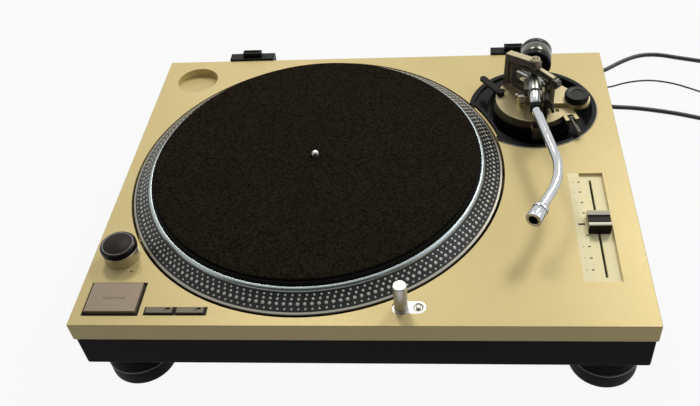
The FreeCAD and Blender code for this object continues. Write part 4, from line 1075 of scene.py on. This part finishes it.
@dataclass
class Pivot:
    """The gimbal support and the gimbal in it, seen along its width, height and depth."""

    left: float = -32.6
    foot: float = -34.4
    right: float = 21.8
    window: tuple[float, float, float] = (-28.4, 18.9, 16.5)
    boss: Pair = (24.0, 40.0)

    def place(self) -> Matrix:
        """The support's frame: width, height, then depth towards the front."""
        turn = math.radians(YOKE_TURN)
        across = Vector((math.cos(turn), math.sin(turn), 0))
        ahead = Vector((math.sin(turn), -math.cos(turn), 0))
        rows = Matrix((across, Vector((0, 0, 1)), ahead)).transposed().to_4x4()
        return Matrix.Translation((*PIVOT, 0)) @ rows

    def support(self) -> None:
        """Forms the support with pale strips of painted highlight along its top, its screw and its round
        boss.
        """
        piece = Piece("yoke_formed", "arm_base", "yoke")
        place = self.place()
        inner, outer, low = self.window
        piece.plate([(self.foot, 12), (4.6, 12), (4.6, low), (inner, low), (inner, 42.1), (-4, 47.4),
                     (3, 47.4), (4.6, 44.2), (4.6, 54), (-4.6, 54), (self.left, 49.5)], -4, 4, YOKE_GREY,
                    place, 0.5, 3)
        piece.plate([(4.4, 12), (self.right, 12), (self.right, 44.7), (4.4, 47), (4.4, 44.2), (outer, 42.2),
                     (outer, low), (4.4, low)], -4, 0.4, YOKE_GREY, place, 0.5, 3)
        left, right = self.left + 0.5, self.right - 0.5
        # Thin pale strips on the top edges are painted highlight
        piece.plate([(left, 49.45), (-4.7, 53.85), (-4.7, 54.15), (left, 49.75)], -3.6, 3.6, YOKE_PAINTED_HIGHLIGHT,
                    place, 0.1, 1)
        piece.plate([(4.9, 46.85), (right, 44.65), (right, 44.95), (4.9, 47.15)], -3.6, 0.1, YOKE_PAINTED_HIGHLIGHT,
                    place, 0.1, 1)
        screw = upright(*PIVOT)
        piece.lathe([(4.5, 50), (4.5, 54.2), (4.3, 54.4), (0, 54.4)], GIMBAL_GREY, screw, 48)
        # The screw cap's tops are pale as painted highlight
        piece.lathe([(3.9, 54.4), (4.25, 54.6), (4.25, 56.4), (4.0, 56.8), (3.6, 57), (2.9, 57), (2.7, 56.7),
                     (2.0, 56.7), (1.8, 57), (0, 57)], YOKE_PAINTED_HIGHLIGHT, screw, 48, {6: FOOT_BLACK, 7: FOOT_BLACK})
        piece.plate(box_outline(-2.8, 2.8, -0.35, 0.35), 57, 57.04, FOOT_BLACK, upright(*PIVOT, 0, 20), 0)
        piece.lathe([(1.5, 12.5), (1.5, 21), (0, 21)], PLAIN_STEEL, screw, 24)
        piece.lathe([(1.5, 42), (1.5, 50)], PLAIN_STEEL, screw, 24)
        knob = place @ Matrix.Translation((*self.boss, 0))
        # The boss's top ring is pale as painted highlight
        piece.lathe([(4.2, -4), (4.7, -3.6), (4.7, 1.9), (4.3, 2.4), (3.3, 2.4), (3.1, 2.0), (2.6, 2.0),
                     (2.4, 2.4), (0, 2.4)], GIMBAL_GREY, knob, 40,
                    {4: YOKE_PAINTED_HIGHLIGHT, 5: FOOT_BLACK, 6: FOOT_BLACK})
        piece.done()

    def gimbal(self) -> None:
        """Forms the gimbal from its four sides."""
        piece = Piece("inner_gimbal_formed", "gimbal", "inner_gimbal")
        place = self.place()
        outer = [(-24.5, 18.5), (-24.5, 42.2), (-12, 43.8), (4, 43.8), (18.2, 41.8), (18.2, 18.5)]
        inner = [(-19.5, 22), (-19.5, 38.5), (-10, 41.9), (10, 41.9), (15, 39), (15, 22)]
        own = bmesh.new()
        index = piece.coat(GIMBAL_GREY)
        loops = [[own.verts.new((x, y, z)) for x, y in loop] for z in (-3.5, 3.5) for loop in (outer, inner)]
        for one, other in ((0, 1), (2, 3), (0, 2), (1, 3)):
            for k in range(6):
                nxt = (k + 1) % 6
                own.faces.new([loops[one][k], loops[one][nxt], loops[other][nxt], loops[other][k]])
        bmesh.ops.recalc_face_normals(own, faces=own.faces)
        sharp = [e for e in own.edges if e.calc_face_angle(0.0) > math.radians(25)]
        bmesh.ops.bevel(own, geom=sharp, offset=0.45, segments=3, affect="EDGES", profile=0.6)
        for face in own.faces:
            face.material_index = index
        piece.merge(own, place)
        for side in (-24.7, 18.4):
            axle = place @ Matrix.Translation((side, TUBE_Z, 0)) @ Matrix.Rotation(math.radians(90), 4, "Y")
            piece.lathe([(2.6, -0.4), (2.6, 0.3), (2.3, 0.4), (0, 0.4)], PLAIN_STEEL, axle, 24)
        piece.done()

    def build(self) -> None:
        """Makes the support and the gimbal."""
        self.support()
        self.gimbal()


@dataclass
class ArmFittings:
    """Small pieces round the arm's base: the lift's pad, the dish's bright rim, the dial's turned top."""

    dish: Pair = (151.5, 86.5)
    dial: Pair = (191.6, 84.0)

    def pad(self) -> None:
        """Lays the white pad and its dot on the lift bar."""
        piece = Piece("lift_pad", "lift_bar")
        piece.plate(box_outline(-3.7, 3.7, -1.5, 1.5), 24.8, 25.4, WHITE_PAD_AND_HIGHLIGHT, upright(139.5, 71.3), 0.2, 2)
        piece.lathe([(1.5, 24.8), (1.5, 25.2), (1.2, 25.4), (0, 25.4)], WHITE_PAD_AND_HIGHLIGHT, upright(134.4, 74.2), 24)
        piece.done()

    def rim(self) -> None:
        """Runs the thin bright line round the dish."""
        piece = Piece("dish_rim", "cabinet")
        x, y = self.dish
        line = []
        for k in range(97):
            turn = math.radians(-122 + 244 * k / 96)
            line.append(Vector((x + 60.2 * math.cos(turn), y + 60.2 * math.sin(turn), 0.36)))
        piece.sweep(line, 0.28, LIP_ALLOY, 10)
        piece.done()

    def dial_top(self) -> None:
        """Turns the anti-skating dial with its ribbed edge and ringed top."""
        piece = Piece("antiskate_dial_turned", "antiskate_dial", "antiskate_dial")
        place = upright(*self.dial)
        outline = [(0, 7), (3, 7), (3, 12.2), (10.9, 12.2), (11.2, 12.4), (11.2, 17.0), (11.0, 17.5),
                   (10.4, 17.95), (6.6, 18), (6.3, 17.9), (6, 17.3), (0, 17.3)]
        piece.lathe(outline, DIAL_TOP, place, 96, {k: MOULDED_BLACK for k in range(7)})
        for k in range(72):
            spot = place @ Matrix.Rotation(math.radians(5 * k), 4, "Z") @ Matrix.Translation((11.2, 0, 0))
            piece.plate(box_outline(-0.1, 0.1, -0.2, 0.2), 12.8, 16.6, MOULDED_BLACK, spot, 0)
        piece.done(35)

    def build(self) -> None:
        """Makes the fittings."""
        self.pad()
        self.rim()
        self.dial_top()


NODE_FINISHES: dict[str, Finish] = {
    "top_plate": CHAMPAGNE, "base_cabinet": TRAY_BLACK, "base_screws": STEEL_GREY,
    "motor_frame": STEEL_GREY, "stator": COPPER, "spindle_bearing": STEEL_GREY,
    "power_supply": BOARD_GREEN, "switch_board": BOARD_GREEN, "strobe_tower": BRIGHT_STEEL,
    "strobe_window": LAMP_LENS, "button_frames": MOULDED_BLACK, "speed_lamps": LAMP_LENS,
    "light_guide": PLAIN_STEEL, "pitch_panel": PANEL_CREAM, "pitch_fader": STEEL_GREY,
    "arm_well": GLOSS_BLACK, "hinge_holders": MOULDED_BLACK, "rear_connectors": MOULDED_BLACK,
    "spindle_shaft": PLAIN_STEEL, "rotor_magnet": MAGNET, "rubber_mat": MAT_RUBBER,
    "start_stop_button": CAP_SILVER, "speed_button_33": CAP_DARK, "speed_button_45": CAP_DARK,
    "target_light": PLAIN_STEEL, "light_button": PLAIN_STEEL, "height_ring": MOULDED_BLACK,
    "arm_base": TURRET_OLIVE, "arm_lock_lever": MOULDED_BLACK, "cue_lever": GIMBAL_GREY,
    "lift_bar": GIMBAL_GREY, "arm_rest": MOULDED_BLACK, "arm_rest_clip": MOULDED_BLACK,
    "hinge_leaf_left": MOULDED_BLACK, "hinge_leaf_right": MOULDED_BLACK, "phono_plugs": MOULDED_BLACK,
    "ground_lug": PLAIN_STEEL,
}

# Width of the eased edge in millimetres of the CAD nodes that are seen from close by
EASED: dict[str, float] = {
    "start_stop_button": 0.25, "speed_button_33": 0.2, "speed_button_45": 0.2, "button_frames": 0.2,
    "arm_base": 0.35, "arm_lock_lever": 0.4, "arm_rest": 0.3, "arm_rest_clip": 0.2, "hinge_holders": 0.5,
    "hinge_leaf_left": 0.4, "hinge_leaf_right": 0.4, "pitch_panel": 0.15, "strobe_tower": 0.2,
    "cue_lever": 0.2, "rear_connectors": 0.3,
}


def dress(node: bpy.types.Object, finish: Finish, eased: float = 0.0) -> None:
    """Gives every material slot of a piece one finish and eases its edges.

    Args:
        node: The piece.
        finish: Its finish.
        eased: The width of its eased edges in millimetres, 0 for none.
    """
    material = finish.material()
    if not node.material_slots:
        node.data.materials.append(material)
    for slot in node.material_slots:
        slot.link = "OBJECT"
        slot.material = material
    if eased:
        edge = node.modifiers.new("eased_edges", "BEVEL")
        edge.width = eased * MM
        edge.segments = 2
        edge.limit_method = "ANGLE"
        edge.angle_limit = math.radians(40)
        edge.harden_normals = False


def main() -> None:
    """Builds the scene in order."""
    logging.basicConfig(level=logging.INFO, format="%(message)s")
    Studio().build()
    Cords().build()
    for name, finish in NODE_FINISHES.items():
        dress(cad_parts[name], finish, EASED.get(name, 0.0))
        LOG.info("node %s in %s", name, finish.name)
    for part in (Drive(), Controls(), Feet(), Tonearm(), Pivot(), ArmFittings()):
        part.build()


if __name__ == "__main__":
    main()
